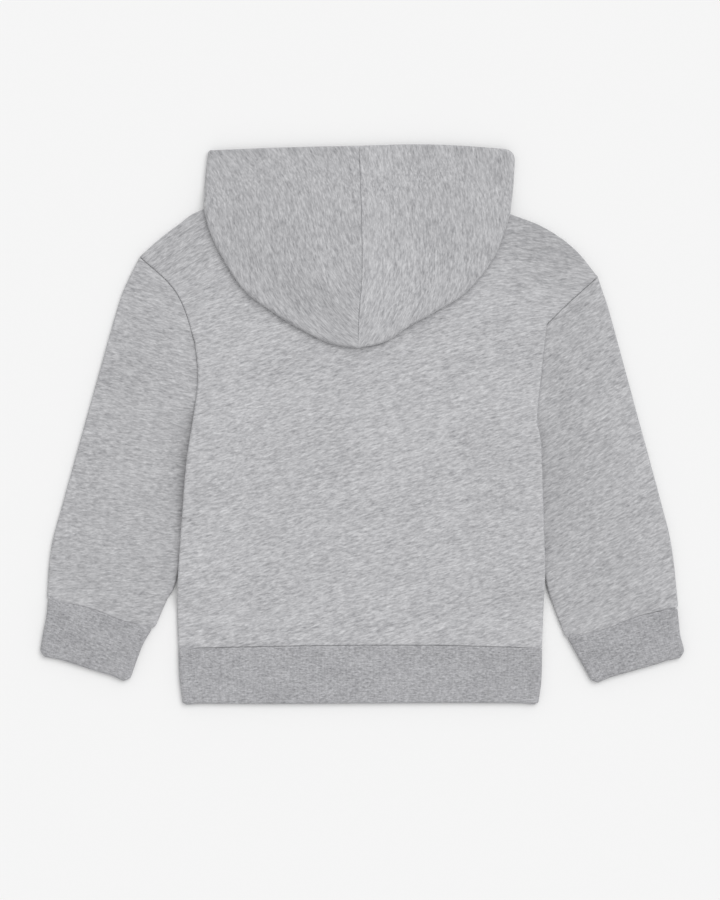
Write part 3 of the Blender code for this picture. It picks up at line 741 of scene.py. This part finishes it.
def tube_shell(name, upper, lower, wall, relief, under_relief, end_radius):
    """A flattened tube with rounded folds. upper and lower are rows of points across its walls, inner
    edge first. It is rounded at its seam and, to its own radius, at its end."""
    half = wall + INSIDE / 2
    in_way = np.array([unit(row[0] - row[2]) for row in upper])
    out_way = np.array([unit(row[-1] - row[-3]) for row in upper])
    over, under = (drawn_in(grid, half, (in_way, out_way)) for grid in (upper, lower))
    from_start, from_end = from_ends(over, 0)
    drop = rounded(from_start, mm("seam_radius")) + rounded(from_end, end_radius)
    drop = np.minimum(drop, TUBE_DROP * wall)
    across = np.linspace(0, 1, over.shape[1])[None, :]
    rise = relief(over[..., 0], over[..., 1], across, from_start, from_end)
    sink = under_relief(under[..., 0], under[..., 1], across, from_start, from_end)
    skins = []
    outer_skin = 0, drop, np.maximum(rise, -PRESS), sink
    inner_skin = wall, TUBE_FOLLOW * drop, np.maximum(rise, 0), 0
    for inset, squeeze, above, below in (outer_skin, inner_skin):
        top = np.dstack([over, 2 * half - inset + above - squeeze])
        bottom = np.dstack([under, inset + squeeze + below])[:, ::-1]
        radius = half - inset - squeeze[:, 0]
        outside = turned(over[:, -1], out_way, half, radius, 1)
        inside = turned(over[:, 0], in_way, half, radius, -1)
        skins.append(np.concatenate([top, outside, bottom, inside], axis=1))
    return wall_mesh(name, *skins, True)


def sleeve_edges(side):
    """The back and the front of the sleeve's armhole seam, its cuff seam, and its two folds."""
    hidden, shown = (
        along(side_line(part, side), np.linspace(0, 1, points))
        for part, points in zip((UNDER_FOLD, BACK_ARMHOLE), ARMHOLE_POINTS)
    )
    back = np.vstack([hidden, shown[1:]])
    columns = np.linspace(0, 1, len(back))
    front = along(side_line(FRONT_ARMHOLE, side), columns)
    back, front = (moved_left(edge, -OUTWARDS[side] * SEWN) for edge in (back, front))
    back[0], back[-1] = front[0], front[-1]
    cuff = along(side_line(CUFF_SEAM, side), columns)
    rows = edge_shares(SLEEVE_LENGTH, PITCH)
    inner, outer = (along(side_line(fold, side), rows) for fold in (SLEEVE_UNDER_FOLD, SLEEVE_TOP_FOLD))
    inner[0], outer[0] = front[0], front[-1]
    return back, front, cuff, inner, outer


def puckers(x, y, from_cuff, seed):
    """The fine gathers where the sleeve's width is eased onto its cuff."""
    run = x + PUCKER_SLOPE * y
    waves = [(1.15, 1, 1), (1.83, 2.1, 0.8), (0.67, 0, 0.5)]
    total = sum(size * np.sin(rate * run + turn * seed) for rate, turn, size in waves)
    total = total / sum(size for rate, turn, size in waves)
    return total * np.exp(-from_cuff / PUCKER_REACH) * ease(from_cuff / PUCKER_END)


def sleeve_shell(side):
    back, front, cuff, inner, outer = sleeve_edges(side)
    columns = np.linspace(0, 1, len(cuff))
    upper, lower = (
        rounded_corners(blended_rows(edge, cuff, inner, outer, columns), SLEEVE_CORNERS)
        for edge in (back, front)
    )
    seed = SLEEVE_SEEDS[side]

    def relief(x, y, across, from_start, from_end):
        down = from_start / (from_start + from_end)
        crown = mm("sleeve_crown") * fade(across, *CROWN_INNER) * fade(across, *CROWN_OUTER)
        crown = crown * within(down, *CROWN_ENDS)
        uneven = mm("unevenness") * undulation(x, y, seed)
        uneven = uneven * ease(from_start / SLEEVE_START) * ease(from_end / SLEEVE_END)
        gathers = mm("gathers") * puckers(x, y, from_end, seed)
        waves = uneven + gathers + creased(x, y, SLEEVE_CREASES[side])
        return crown + waves * within(across, *SLEEVE_FOLDS)

    def under_relief(x, y, across, from_start, from_end):
        gathers = mm("gathers") * (1 + puckers(x, y, from_end, seed + 1)) / 2
        return gathers * within(across, *SLEEVE_FOLDS) * np.exp(-from_end / UNDER_PUCKER_REACH)

    return tube_shell(
        "sleeve_" + side, upper, lower, mm("fleece"), relief, under_relief, mm("seam_radius")
    )


def ribs(run, from_start, from_end):
    """The ridges of a one by one rib, which sink into the seams at both ends."""
    ridge = (0.5 + 0.5 * np.cos(2 * np.pi * run / mm("rib_pitch"))) ** RIB_SHARPNESS
    sunk = ease(from_start / RIB_SINK) * ease((from_end + RIB_PAST_END) / RIB_SINK)
    return mm("rib_height") * (ridge - 0.5) * sunk


def rib_shell(name, start, end, inner, outer, corners):
    """A strip of rib, folded double and sewn into a flattened tube."""
    rows = blended_rows(start, end, inner, outer, np.linspace(0, 1, len(start)))
    rows = rounded_corners(rows, corners)
    width = run_of(start)[-1]

    def relief(x, y, across, from_start, from_end):
        uneven = RIB_UNEVENNESS * mm("unevenness") * undulation(x, y, 3) * ease(from_start / RIB_START)
        wander = 0.5 * np.sin(0.05 * x + 0.03 * y)
        ridges = ribs(across * width + wander, from_start, from_end)
        return ridges + uneven * within(across, *RIB_FOLDS)

    def under_relief(x, y, across, from_start, from_end):
        return mm("rib_height") / 2 - ribs(across * width, from_start, from_end)

    return tube_shell(name, rows, rows, mm("rib"), relief, under_relief, mm("rib_fold"))


def cuff_shell(side):
    seam_columns = np.linspace(*CUFF_SEAM_SHARES, RIB_COLUMNS["cuff"])
    rows = edge_shares(CUFF_LENGTH, RIB_PITCH)
    seam = moved_left(along(side_line(CUFF_SEAM, side), seam_columns), -OUTWARDS[side] * SEWN)
    inner, outer = (along(side_line(edge, side), rows) for edge in (CUFF_INNER, CUFF_OUTER))
    seam[0], seam[-1] = inner[0], outer[0]
    end = along(side_line(CUFF_END, side), np.linspace(0, 1, RIB_COLUMNS["cuff"]))
    return rib_shell("cuff_" + side, seam, end, inner, outer, CUFF_CORNERS)


def waistband_shell():
    columns = np.linspace(0, 1, RIB_COLUMNS["waistband"])
    rows = edge_shares(WAISTBAND_LENGTH, RIB_PITCH)
    seam, hem = waist_line(WAIST_SEAM, columns) - (0, SEWN), waist_line(HEM, columns)
    left, right = (along(side_line(WAISTBAND_SIDE, side), rows) for side in OUTWARDS)
    seam[0], seam[-1] = left[0], right[0]
    return rib_shell("waistband", seam, hem, left, right, WAISTBAND_CORNERS)


# ---------------------------------------------------------------- hood


def seam_across(y):
    """How far across the hood's centre seam lies at each height."""
    line = smooth_line(np.column_stack([SEAM_UP, SEAM_ACROSS]).astype(float))
    return np.interp(y, line[:, 0], line[:, 1])


def hood_low(x, y):
    """The underside of the hood where it lies on the back panel."""
    return back_low(x, y) + mm("fleece") + AIR


def hood_top(x, y):
    """The outer side of the hood's upper wall, away from its folds."""
    top = top_edge(x)
    support = hood_low(x, np.minimum(y, top)) * (1 - ease((y - top) / SUPPORT_END))
    return support + 2 * mm("fleece") + HOOD_AIR


def hood_fold_radius():
    return mm("fleece") + HOOD_AIR / 2


def hood_indices():
    """Where along the hood its fine rows lie. Index 0 is its lowest point, 8 the back neck, 13 the
    shoulder seam, 14 the first row in front of it and 18 the free edge."""
    first_front = SHOULDER_ROW + 1
    before = edge_shares(HOOD_BACK_LENGTH, PITCH, last=False) * first_front
    after = first_front + edge_shares(HOOD_FRONT_LENGTH, PITCH, first=False) * (HOOD_ROWS - first_front)
    return np.concatenate([before, after[1:]])


def to_side_half(side, shares):
    """Shares of a whole width from shares of its left half, for the half on this side."""
    return shares if side == "left" else 1 - shares


def limb_ends(side, index):
    """Where each row of the lower wall ends: up the centre seam, then along the back neck."""
    middle = neck_points(0.5, BACK_NECK_DROP, BACK_NECK_POWER)[1]
    up = np.interp(index, [0, HOOD_SEAM_ROWS], [SEAM_UP[0] + HOOD_FIRST_ROW, middle])
    on_seam = np.stack([seam_across(up), up], axis=-1)
    half = 0.5 * (1 - np.clip((index - HOOD_SEAM_ROWS) / HOOD_NECK_ROWS, 0, 1))
    on_neck = neck_points(to_side_half(side, half), BACK_NECK_DROP, BACK_NECK_POWER)
    ends = np.where((index <= HOOD_SEAM_ROWS)[:, None], on_seam, on_neck)
    return ends[index <= SHOULDER_ROW + 1] + (OUTWARDS[side] * SEWN / 2, 0)


def front_rows(side, limb_shares, extra_shares):
    """The first row in front of the shoulder seam and the free edge, each from the fold inwards."""
    outwards = OUTWARDS[side]
    at_fold, at_neck, round_neck = np.array(SHOULDER_CLEARANCE) * (outwards, 1)
    to_crossing = side_line(SHOULDER, side)[: LINE_STEPS + 1]
    shoulder = along(to_crossing, 1 - limb_shares)
    s = limb_shares[:, None]
    beside = shoulder + (1 - s) * at_fold + s * at_neck
    halves = to_side_half(side, np.linspace(0.16, 1, 30) / 2)
    neck = neck_points(halves, FRONT_NECK_DROP, FRONT_NECK_POWER) + (-outwards * SEWN, SEWN)
    neck[-1][0] = outwards * SEWN / 2
    neck = along(np.vstack([beside[-1], shoulder[-1] + round_neck, neck]), extra_shares)
    limb_end = FACE_EDGE_LIMB_SHARE
    shares = np.concatenate([limb_end * limb_shares, limb_end + (1 - limb_end) * extra_shares])
    return np.vstack([beside, neck]), along(side_line(FACE_EDGE_UNDER, side), shares)


def hood_fold(side, index, lowest_across):
    """The middle of the hood's fold on each row, and the way out of it."""
    on_arc = along(side_line(HOOD_FOLD, side), np.clip(index / SHOULDER_ROW, 0, 1))
    past = np.clip((index - SHOULDER_ROW) / HOOD_FRONT_ROWS, 0, 1)
    fold = np.where((index <= SHOULDER_ROW)[:, None], on_arc, along(side_line(HOOD_SIDE, side), past))
    fold[0, 0] = lowest_across
    lowest = (1 - ease(index / 0.6))[:, None]
    ways = (moved_left(fold, -OUTWARDS[side]) - fold) * (1 - lowest) + lowest * np.array([0, -1])
    ways /= np.linalg.norm(ways, axis=1)[:, None]
    return fold - hood_fold_radius() * ways, ways


def hood_below(side, index, ends, centres):
    """The hood's lower wall, from the fold inwards, and its heights. Behind the shoulder seam it lies
    on the back panel, and in front of it on the surface."""
    limb_shares = np.linspace(0, 1, LIMB_COLUMNS)
    extra_shares = np.linspace(0, 1, EXTRA_COLUMNS + 1)[1:]
    first, last = front_rows(side, limb_shares, extra_shares)
    part = ((index - SHOULDER_ROW - 1) / (HOOD_FRONT_ROWS - 1))[:, None, None]
    below = first + (last - first) * part
    below[:, :LIMB_COLUMNS] += (1 - limb_shares)[None, :, None] * (centres - below[:, 0])[:, None]
    lows = np.zeros(below.shape[:2])
    landing = np.interp(index, SHOULDER_ROW + 1 + np.arange(3), [*HOOD_LANDING, 0])
    lows[:, :LIMB_COLUMNS] = landing[:, None]
    s = limb_shares[None, :, None]
    centres = centres[: len(ends)]
    on_back = centres[:, None] * (1 - s) + ends[:, None] * s
    x, y = on_back[..., 0], on_back[..., 1]
    back_lows = hood_low(x, np.minimum(y, top_edge(x) - 0.1))
    past = np.clip(index[: len(ends)] - SHOULDER_ROW, 0, 1)[:, None]
    in_front = first[:LIMB_COLUMNS] + (1 - s) * (centres - first[0])[:, None]
    start = (index >= SHOULDER_ROW + 1).argmax()
    below[:start, :LIMB_COLUMNS] = (on_back * (1 - past[..., None]) + in_front * past[..., None])[:start]
    lows[:start, :LIMB_COLUMNS] = (back_lows * (1 - past) + HOOD_LANDING[0] * past)[:start]
    below[:start, LIMB_COLUMNS:] = np.nan
    return below, lows


def hood_upper(side, index, centres, lows_at_fold):
    """The upper wall, from the centre seam to the fold, and how far each point is from the fold."""
    shares = edge_shares(HOOD_WIDTH, PITCH, last=False)
    heights = np.interp(index, [0, HOOD_ROWS], [SEAM_UP[0] + HOOD_FIRST_ROW, FACE_EDGE_MIDDLE])
    across = seam_across(heights) + OUTWARDS[side] * SEWN / 2
    start = np.stack([across, heights], axis=-1)[:, None]
    points = start + (centres[:, None] - start) * shares[None, :, None]
    bow = FACE_EDGE_BOW[side] * np.sin(np.pi * shares)[None] * (index / (HOOD_ROWS + 1))[:, None] ** 4
    points[..., 1] += bow
    x, y = points[..., 0], points[..., 1]
    reach = np.linalg.norm(points - centres[:, None], axis=-1)
    from_face = FACE_EDGE_MIDDLE - y
    crown = mm("hood_crown") * ease(reach / HOOD_CROWN_RISE) * ease(from_face / HOOD_CROWN_END)
    roll = mm("hood_roll") * (1 - np.exp(-reach / HOOD_ROLL_RISE)) * ease(from_face / HOOD_ROLL_END)
    at_fold = (lows_at_fold + 2 * hood_fold_radius())[:, None]
    z = at_fold + (hood_top(x, y) + crown + roll - at_fold) * ease(reach / HOOD_RISE)
    return np.dstack([x, y, z]), reach


def hood_relief(side, x, y, from_fold, from_seam, from_face):
    """The waves and creases of the hood's upper wall, and the groove over its hem."""
    edges = (ease(reach / over) for reach, over in zip((from_fold, from_seam, from_face), HOOD_UNEVEN))
    relief = mm("unevenness") * undulation(x, y, 4) * np.prod(list(edges), axis=0)
    near_fold = ease(from_fold / HOOD_CREASED[0])
    relief = relief + creased(x, y, HOOD_CREASES[side]) * near_fold * ease(from_face / HOOD_CREASED[1])
    groove = mm("hem_groove") * bell(from_face - HEM_GROOVE_AT, HEM_GROOVE_WIDTH)
    return np.maximum(relief, LEAST_HOOD_AIR - HOOD_AIR) - groove * near_fold


def hood_shell(side):
    """One half of the hood: its upper wall, its fold, and its lower wall with the free edge."""
    wall, face_roll = mm("fleece"), mm("face_roll")
    index = hood_indices()
    ends = limb_ends(side, index)
    centres, ways = hood_fold(side, index, ends[0, 0])
    below, lows = hood_below(side, index, ends, centres)
    upper, from_fold = hood_upper(side, index, centres, lows[:, 0])
    from_seam = from_ends(upper[..., :2], 1)[0]
    from_face = from_ends(upper[..., :2], 0)[1]
    relief = hood_relief(side, upper[..., 0], upper[..., 1], from_fold, from_seam, from_face)
    seam_share = FACE_SEAM_SHARE + (1 - FACE_SEAM_SHARE) * fade(from_face, *FACE_SEAM_FADE)
    drop = rounded(from_seam, mm("seam_radius")) * seam_share + rounded(from_face, face_roll)
    drop = np.minimum(drop, HOOD_DROP * wall)
    fold_drop = np.minimum(rounded(from_face[:, -1], face_roll), HOOD_FOLD_DROP * wall)
    to_face = from_ends(np.nan_to_num(below), 0)[1]
    under_drop = np.minimum(rounded(to_face, FREE_EDGE_RADIUS), FREE_EDGE_DROP)
    skins = []
    for inset, share, raised in ((0, 1, under_drop), (wall, HOOD_FOLLOW, 0)):
        top = upper.copy()
        top[..., 2] += relief - share * drop - inset
        radius = hood_fold_radius()
        turn = turned(centres, ways, lows[:, 0] + radius, radius - inset - share * fold_drop, 1)
        bottom = np.dstack([below, lows + inset + raised])
        skins.append(np.concatenate([top, turn, bottom], axis=1))
    corner = side_points([HOOD_CORNER_POINT], side)[0]
    side_way = unit(side_points(HOOD_SIDE, side)[1] - corner)
    top_way = unit(upper[-1, -12, :2] - corner)
    skins = [corner_drawn_in(skin, corner, side_way, top_way, HOOD_CORNER[side]) for skin in skins]
    return wall_mesh("hood_" + side, *skins, False)


# ---------------------------------------------------------------- materials


def linear(colour):
    """An sRGB hex colour as linear red, green and blue."""
    values = [int(colour[k : k + 2], 16) / 255 for k in (1, 3, 5)]
    return [v / 12.92 if v <= 0.04045 else ((v + 0.055) / 1.055) ** 2.4 for v in values]


def add_node(tree, kind, settings=None, **inputs):
    """Adds a node, sets its properties, and sets or links its inputs, named in lower case."""
    node = tree.nodes.new(kind)
    for key, value in (settings or {}).items():
        setattr(node, key, value)
    sockets = {socket.identifier.lower().replace(" ", "_"): socket for socket in node.inputs}
    for key, value in inputs.items():
        if isinstance(value, bpy.types.NodeSocket):
            tree.links.new(value, sockets[key])
        else:
            sockets[key].default_value = value
    return node


def new_material(name):
    material = bpy.data.materials.new(name)
    material.use_nodes = True
    material.node_tree.nodes.clear()
    return material, material.node_tree


FLEECE = "melange cotton fleece, knitted"


def scaled(tree, vector, factors):
    return add_node(
        tree, "ShaderNodeVectorMath", {"operation": "MULTIPLY"}, vector=vector, vector_001=factors
    ).outputs[0]


def noise(tree, vector, scale, detail, roughness, distortion=0.0):
    return add_node(
        tree,
        "ShaderNodeTexNoise",
        vector=vector,
        scale=scale,
        detail=detail,
        roughness=roughness,
        distortion=distortion,
    ).outputs["Fac"]


def plus_share(tree, value, share, more):
    """A share of more, added to a value."""
    return add_node(
        tree,
        "ShaderNodeMath",
        {"operation": "MULTIPLY_ADD"},
        value=more,
        value_001=share,
        value_002=value,
    ).outputs[0]


FIBRE_SHARE = 0.5  # how strongly the fine fibres show beside the flecks
PATCH_SHARE = 0.15  # and the slow cloudiness of the yarn
FLECK_SPREAD = 0.32  # how gradual the step from a dark to a light fleck is
FUZZ = 0.0011  # size of the tufts of the nap


def melange(tree, dark, light, fleck, fibre):
    """The heathered yarns: long flecks of dark fibre along the courses, over a fine speckle. fleck is
    the size of the flecks in metres, along the courses and across them, and fibre that of a speck."""
    knit = add_node(tree, "ShaderNodeAttribute", {"attribute_name": "knit"}).outputs["Vector"]
    stretched = scaled(tree, knit, (1 / fleck[0], 1 / fleck[1], 1 / fleck[1]))
    flecks = noise(tree, stretched, 1, 3, 0.7, 0.2)
    fibres = noise(tree, scaled(tree, knit, (0.3 / fibre, 1 / fibre, 1 / fibre)), 1, 1, 0.5, 0.3)
    patches = noise(tree, stretched, 0.14, 1, 0.5)
    mixed = plus_share(tree, flecks, FIBRE_SHARE, fibres)
    mixed = plus_share(tree, mixed, PATCH_SHARE, patches)
    middle = (1 + FIBRE_SHARE + PATCH_SHARE) / 2
    ramp = add_node(
        tree,
        "ShaderNodeMapRange",
        {"clamp": True},
        value=mixed,
        from_min=middle - FLECK_SPREAD,
        from_max=middle + FLECK_SPREAD,
        to_min=0,
        to_max=1,
    ).outputs[0]
    colour = add_node(
        tree,
        "ShaderNodeMix",
        {"data_type": "RGBA"},
        factor_float=ramp,
        a_color=(*dark, 1),
        b_color=(*light, 1),
    ).outputs[2]
    # The colour is scaled by the painted shade of each point, which stands in for light and shade.
    nap = add_node(tree, "ShaderNodeAttribute", {"attribute_name": "nap"}).outputs["Fac"]
    return knit, add_node(
        tree, "ShaderNodeVectorMath", {"operation": "SCALE"}, vector=colour, scale=nap
    ).outputs[0]


def cloth_material(name, dark, light, fleck, fibre, nap_height, sheen):
    """Cotton knit: rough all over, with a soft sheen from the fibres that stand off its surface."""
    material, tree = new_material(name)
    knit, colour = melange(tree, dark, light, fleck, fibre)
    fuzz = noise(tree, knit, 1 / FUZZ, 2, 0.6)
    bump = add_node(tree, "ShaderNodeBump", strength=1, distance=nap_height, height=fuzz).outputs[0]
    shader = add_node(
        tree,
        "ShaderNodeBsdfPrincipled",
        base_color=colour,
        roughness=0.92,
        specular_ior_level=0.2,
        sheen_weight=sheen,
        sheen_roughness=0.5,
        normal=bump,
    )
    add_node(tree, "ShaderNodeOutputMaterial", surface=shader.outputs[0])
    return material


def fleece_material():
    """Cotton fleece, circular knitted from grey melange yarn and brushed inside. The flecks run along
    its courses, and the fine surface gives an even, matt grey."""
    size = bpy.context.scene.hoodie_sizes
    return cloth_material(
        FLEECE,
        size.heather_dark,
        size.heather_light,
        fleck=(0.0070, 0.0018),
        fibre=0.0010,
        nap_height=0.00012,
        sheen=0.2,
    )


def rib_material():
    """One by one rib in the same melange yarn, knitted tighter. It reads darker and finer, and its
    ridges break the flecks up."""
    size = bpy.context.scene.hoodie_sizes
    return cloth_material(
        "melange cotton rib, knitted one by one",
        size.rib_dark,
        size.rib_light,
        fleck=(0.0034, 0.0013),
        fibre=0.0008,
        nap_height=0.00010,
        sheen=0.15,
    )


def floor_material():
    """A matt painted board, which stays plain and pale under the cloth."""
    colour = bpy.context.scene.hoodie_sizes.floor_colour
    material, tree = new_material("matt painted board, sprayed")
    shader = add_node(
        tree,
        "ShaderNodeBsdfPrincipled",
        base_color=(*colour, 1),
        roughness=0.9,
        specular_ior_level=0.1,
    )
    add_node(tree, "ShaderNodeOutputMaterial", surface=shader.outputs[0])
    return material


# ---------------------------------------------------------------- stage


FLOOR_GAP = 0.0003  # under the cloth, so that the two surfaces never share a plane
LENS, SENSOR = 180, 36  # the camera's, in millimetres


def make_floor():
    half = bpy.context.scene.hoodie_sizes.floor_half
    mesh = bpy.data.meshes.new("floor")
    corners = [(-half, -half), (half, -half), (half, half), (-half, half)]
    mesh.from_pydata([(x, y, -FLOOR_GAP) for x, y in corners], [], [(0, 1, 2, 3)])
    mesh.materials.append(floor_material())
    floor = bpy.data.objects.new("floor", mesh)
    bpy.context.scene.collection.objects.link(floor)


def make_light():
    """A wide, soft light high on the right, and an even white room round the cloth."""
    size = bpy.context.scene.hoodie_sizes
    light = bpy.data.lights.new("softbox", "SUN")
    light.energy = size.light_strength
    light.angle = size.light_spread
    lamp = bpy.data.objects.new("softbox", light)
    lamp.rotation_euler = (size.light_tilt, 0, size.light_turn)
    bpy.context.scene.collection.objects.link(lamp)
    world = bpy.data.worlds.new("white room")
    world.use_nodes = True
    background = world.node_tree.nodes["Background"]
    background.inputs["Color"].default_value = (1, 1, 1, 1)
    background.inputs["Strength"].default_value = size.room_strength
    bpy.context.scene.world = world


def make_camera():
    size = bpy.context.scene.hoodie_sizes
    lens = bpy.data.cameras.new("camera")
    lens.lens = LENS
    lens.sensor_width = SENSOR
    lens.dof.use_dof = False
    camera = bpy.data.objects.new("camera", lens)
    camera.location = (size.camera_x, size.camera_y, size.camera_height)
    bpy.context.scene.collection.objects.link(camera)
    bpy.context.scene.camera = camera
    bpy.context.scene.view_settings.view_transform = "Standard"


# ---------------------------------------------------------------- add-on


def length_property(name, description, default):
    return bpy.props.FloatProperty(
        name=name, description=description, default=default, unit="LENGTH", subtype="DISTANCE", precision=5
    )


def colour_property(name, description, default):
    return bpy.props.FloatVectorProperty(
        name=name, description=description, default=linear(default), subtype="COLOR", size=3, min=0, max=1
    )


class HoodieSizes(bpy.types.PropertyGroup):
    """Sizes and colours of the hoodie."""

    fleece: length_property("Fleece", "Thickness of the brushed fleece", 0.0020)
    rib: length_property("Rib", "Thickness of the rib, folded double", 0.0026)
    seam_radius: length_property("Seam radius", "How far the cloth turns down into a seam", 0.0006)
    side_radius: length_property("Side radius", "How round the body's sides are", 0.0019)
    rib_fold: length_property("Rib fold", "Radius of the fold at the end of the rib", 0.0020)
    face_roll: length_property("Face edge roll", "Radius of the turned edge of the hood", 0.0016)
    hem_groove: length_property("Hem groove", "Depth of the groove over the hood's hem", 0.00025)
    body_crown: length_property("Body crown", "How far the back stands off the front", 0.0016)
    sleeve_crown: length_property("Sleeve crown", "How far a sleeve's walls stand apart", 0.0030)
    hood_crown: length_property("Hood crown", "How far the hood stands off the back", 0.0022)
    hood_roll: length_property("Hood roll", "How far the hood's fold rounds up", 0.0025)
    unevenness: length_property("Unevenness", "Height of the slight waves of laid cloth", 0.00035)
    gathers: length_property("Gathers", "Height of the puckers above the cuffs", 0.00030)
    rib_pitch: length_property("Rib pitch", "From one ridge of the rib to the next", 0.0025)
    rib_height: length_property("Rib height", "Height of the ridges of the rib", 0.00026)
    heather_dark: colour_property("Dark fleck", "Darkest fleck of the fleece", "#8E8E91")
    heather_light: colour_property("Light fleck", "Lightest fleck of the fleece", "#D8D8DA")
    rib_dark: colour_property("Rib dark fleck", "Darkest fleck of the rib", "#7C7C7F")
    rib_light: colour_property("Rib light fleck", "Lightest fleck of the rib", "#CECED1")
    floor_colour: colour_property("Floor", "Colour of the board", "#F4F4F4")
    floor_half: length_property("Floor half width", "Half the width of the floor", 20.0)
    light_strength: bpy.props.FloatProperty(name="Light", description="Strength of the light", default=1.215)
    light_spread: bpy.props.FloatProperty(
        name="Light spread", description="How wide the light is", default=math.radians(46), subtype="ANGLE"
    )
    light_tilt: bpy.props.FloatProperty(
        name="Light tilt", description="How far from overhead", default=math.radians(30), subtype="ANGLE"
    )
    light_turn: bpy.props.FloatProperty(
        name="Light turn", description="Which side it comes from", default=math.radians(140), subtype="ANGLE"
    )
    room_strength: bpy.props.FloatProperty(name="Room", description="Brightness of the room", default=0.68)
    camera_x: length_property("Camera across", "How far across the camera stands", -0.0016)
    camera_y: length_property("Camera up", "How far up the garment the camera stands", -0.0208)
    camera_height: length_property("Camera height", "How high the camera stands", 3.605)


class HOODIE_OT_body(bpy.types.Operator):
    """Lay the front and back panels"""

    bl_idname = "hoodie.body"
    bl_label = "Body panels"

    def execute(self, context):
        fleece = fleece_material()
        grid = panel_grid(front_edge("left"), front_edge("right"), FRONT_NECK_DROP, FRONT_NECK_POWER)
        front = panel_shell("front_panel", grid, front_low, front_relief)
        add_piece("front_panel", front, fleece)
        grid = panel_grid(back_edge("left"), back_edge("right"), BACK_NECK_DROP, BACK_NECK_POWER)
        back = panel_shell("back_panel", grid, back_low, back_relief)
        add_piece("back_panel", back, fleece)
        return {"FINISHED"}


class HOODIE_OT_sleeves(bpy.types.Operator):
    """Lay both sleeves"""

    bl_idname = "hoodie.sleeves"
    bl_label = "Sleeves"

    def execute(self, context):
        fleece = bpy.data.materials[FLEECE]
        for side in OUTWARDS:
            mesh = sleeve_shell(side)
            add_piece("sleeve_" + side, mesh, fleece)
        return {"FINISHED"}


class HOODIE_OT_ribs(bpy.types.Operator):
    """Lay the waistband and both cuffs"""

    bl_idname = "hoodie.ribs"
    bl_label = "Ribs"

    def execute(self, context):
        rib = rib_material()
        for side in OUTWARDS:
            add_piece("cuff_" + side, cuff_shell(side), rib)
        add_piece("waistband", waistband_shell(), rib)
        return {"FINISHED"}


class HOODIE_OT_hood(bpy.types.Operator):
    """Lay both halves of the hood"""

    bl_idname = "hoodie.hood"
    bl_label = "Hood"

    def execute(self, context):
        fleece = bpy.data.materials[FLEECE]
        for side in OUTWARDS:
            mesh = hood_shell(side)
            add_piece("hood_" + side, mesh, fleece)
        return {"FINISHED"}


class HOODIE_OT_stage(bpy.types.Operator):
    """Set the floor, the light and the camera"""

    bl_idname = "hoodie.stage"
    bl_label = "Stage"

    def execute(self, context):
        make_floor()
        make_light()
        make_camera()
        return {"FINISHED"}


class HOODIE_PT_panel(bpy.types.Panel):
    """Sizes, colours and the steps of the hoodie"""

    bl_idname = "HOODIE_PT_panel"
    bl_label = "Hoodie"
    bl_space_type = "VIEW_3D"
    bl_region_type = "UI"
    bl_category = "Hoodie"

    def draw(self, context):
        for step in STEPS:
            self.layout.operator(step.bl_idname)
        for key in HoodieSizes.__annotations__:
            self.layout.prop(context.scene.hoodie_sizes, key)


STEPS = (HOODIE_OT_body, HOODIE_OT_sleeves, HOODIE_OT_ribs, HOODIE_OT_hood, HOODIE_OT_stage)
CLASSES = (HoodieSizes, *STEPS, HOODIE_PT_panel)


def register():
    for cls in CLASSES:
        bpy.utils.register_class(cls)
    bpy.types.Scene.hoodie_sizes = bpy.props.PointerProperty(type=HoodieSizes)


def unregister():
    del bpy.types.Scene.hoodie_sizes
    for cls in reversed(CLASSES):
        bpy.utils.unregister_class(cls)


def main():
    register()
    bpy.ops.hoodie.body()
    bpy.ops.hoodie.sleeves()
    bpy.ops.hoodie.ribs()
    bpy.ops.hoodie.hood()
    bpy.ops.hoodie.stage()


if __name__ == "__main__":
    main()
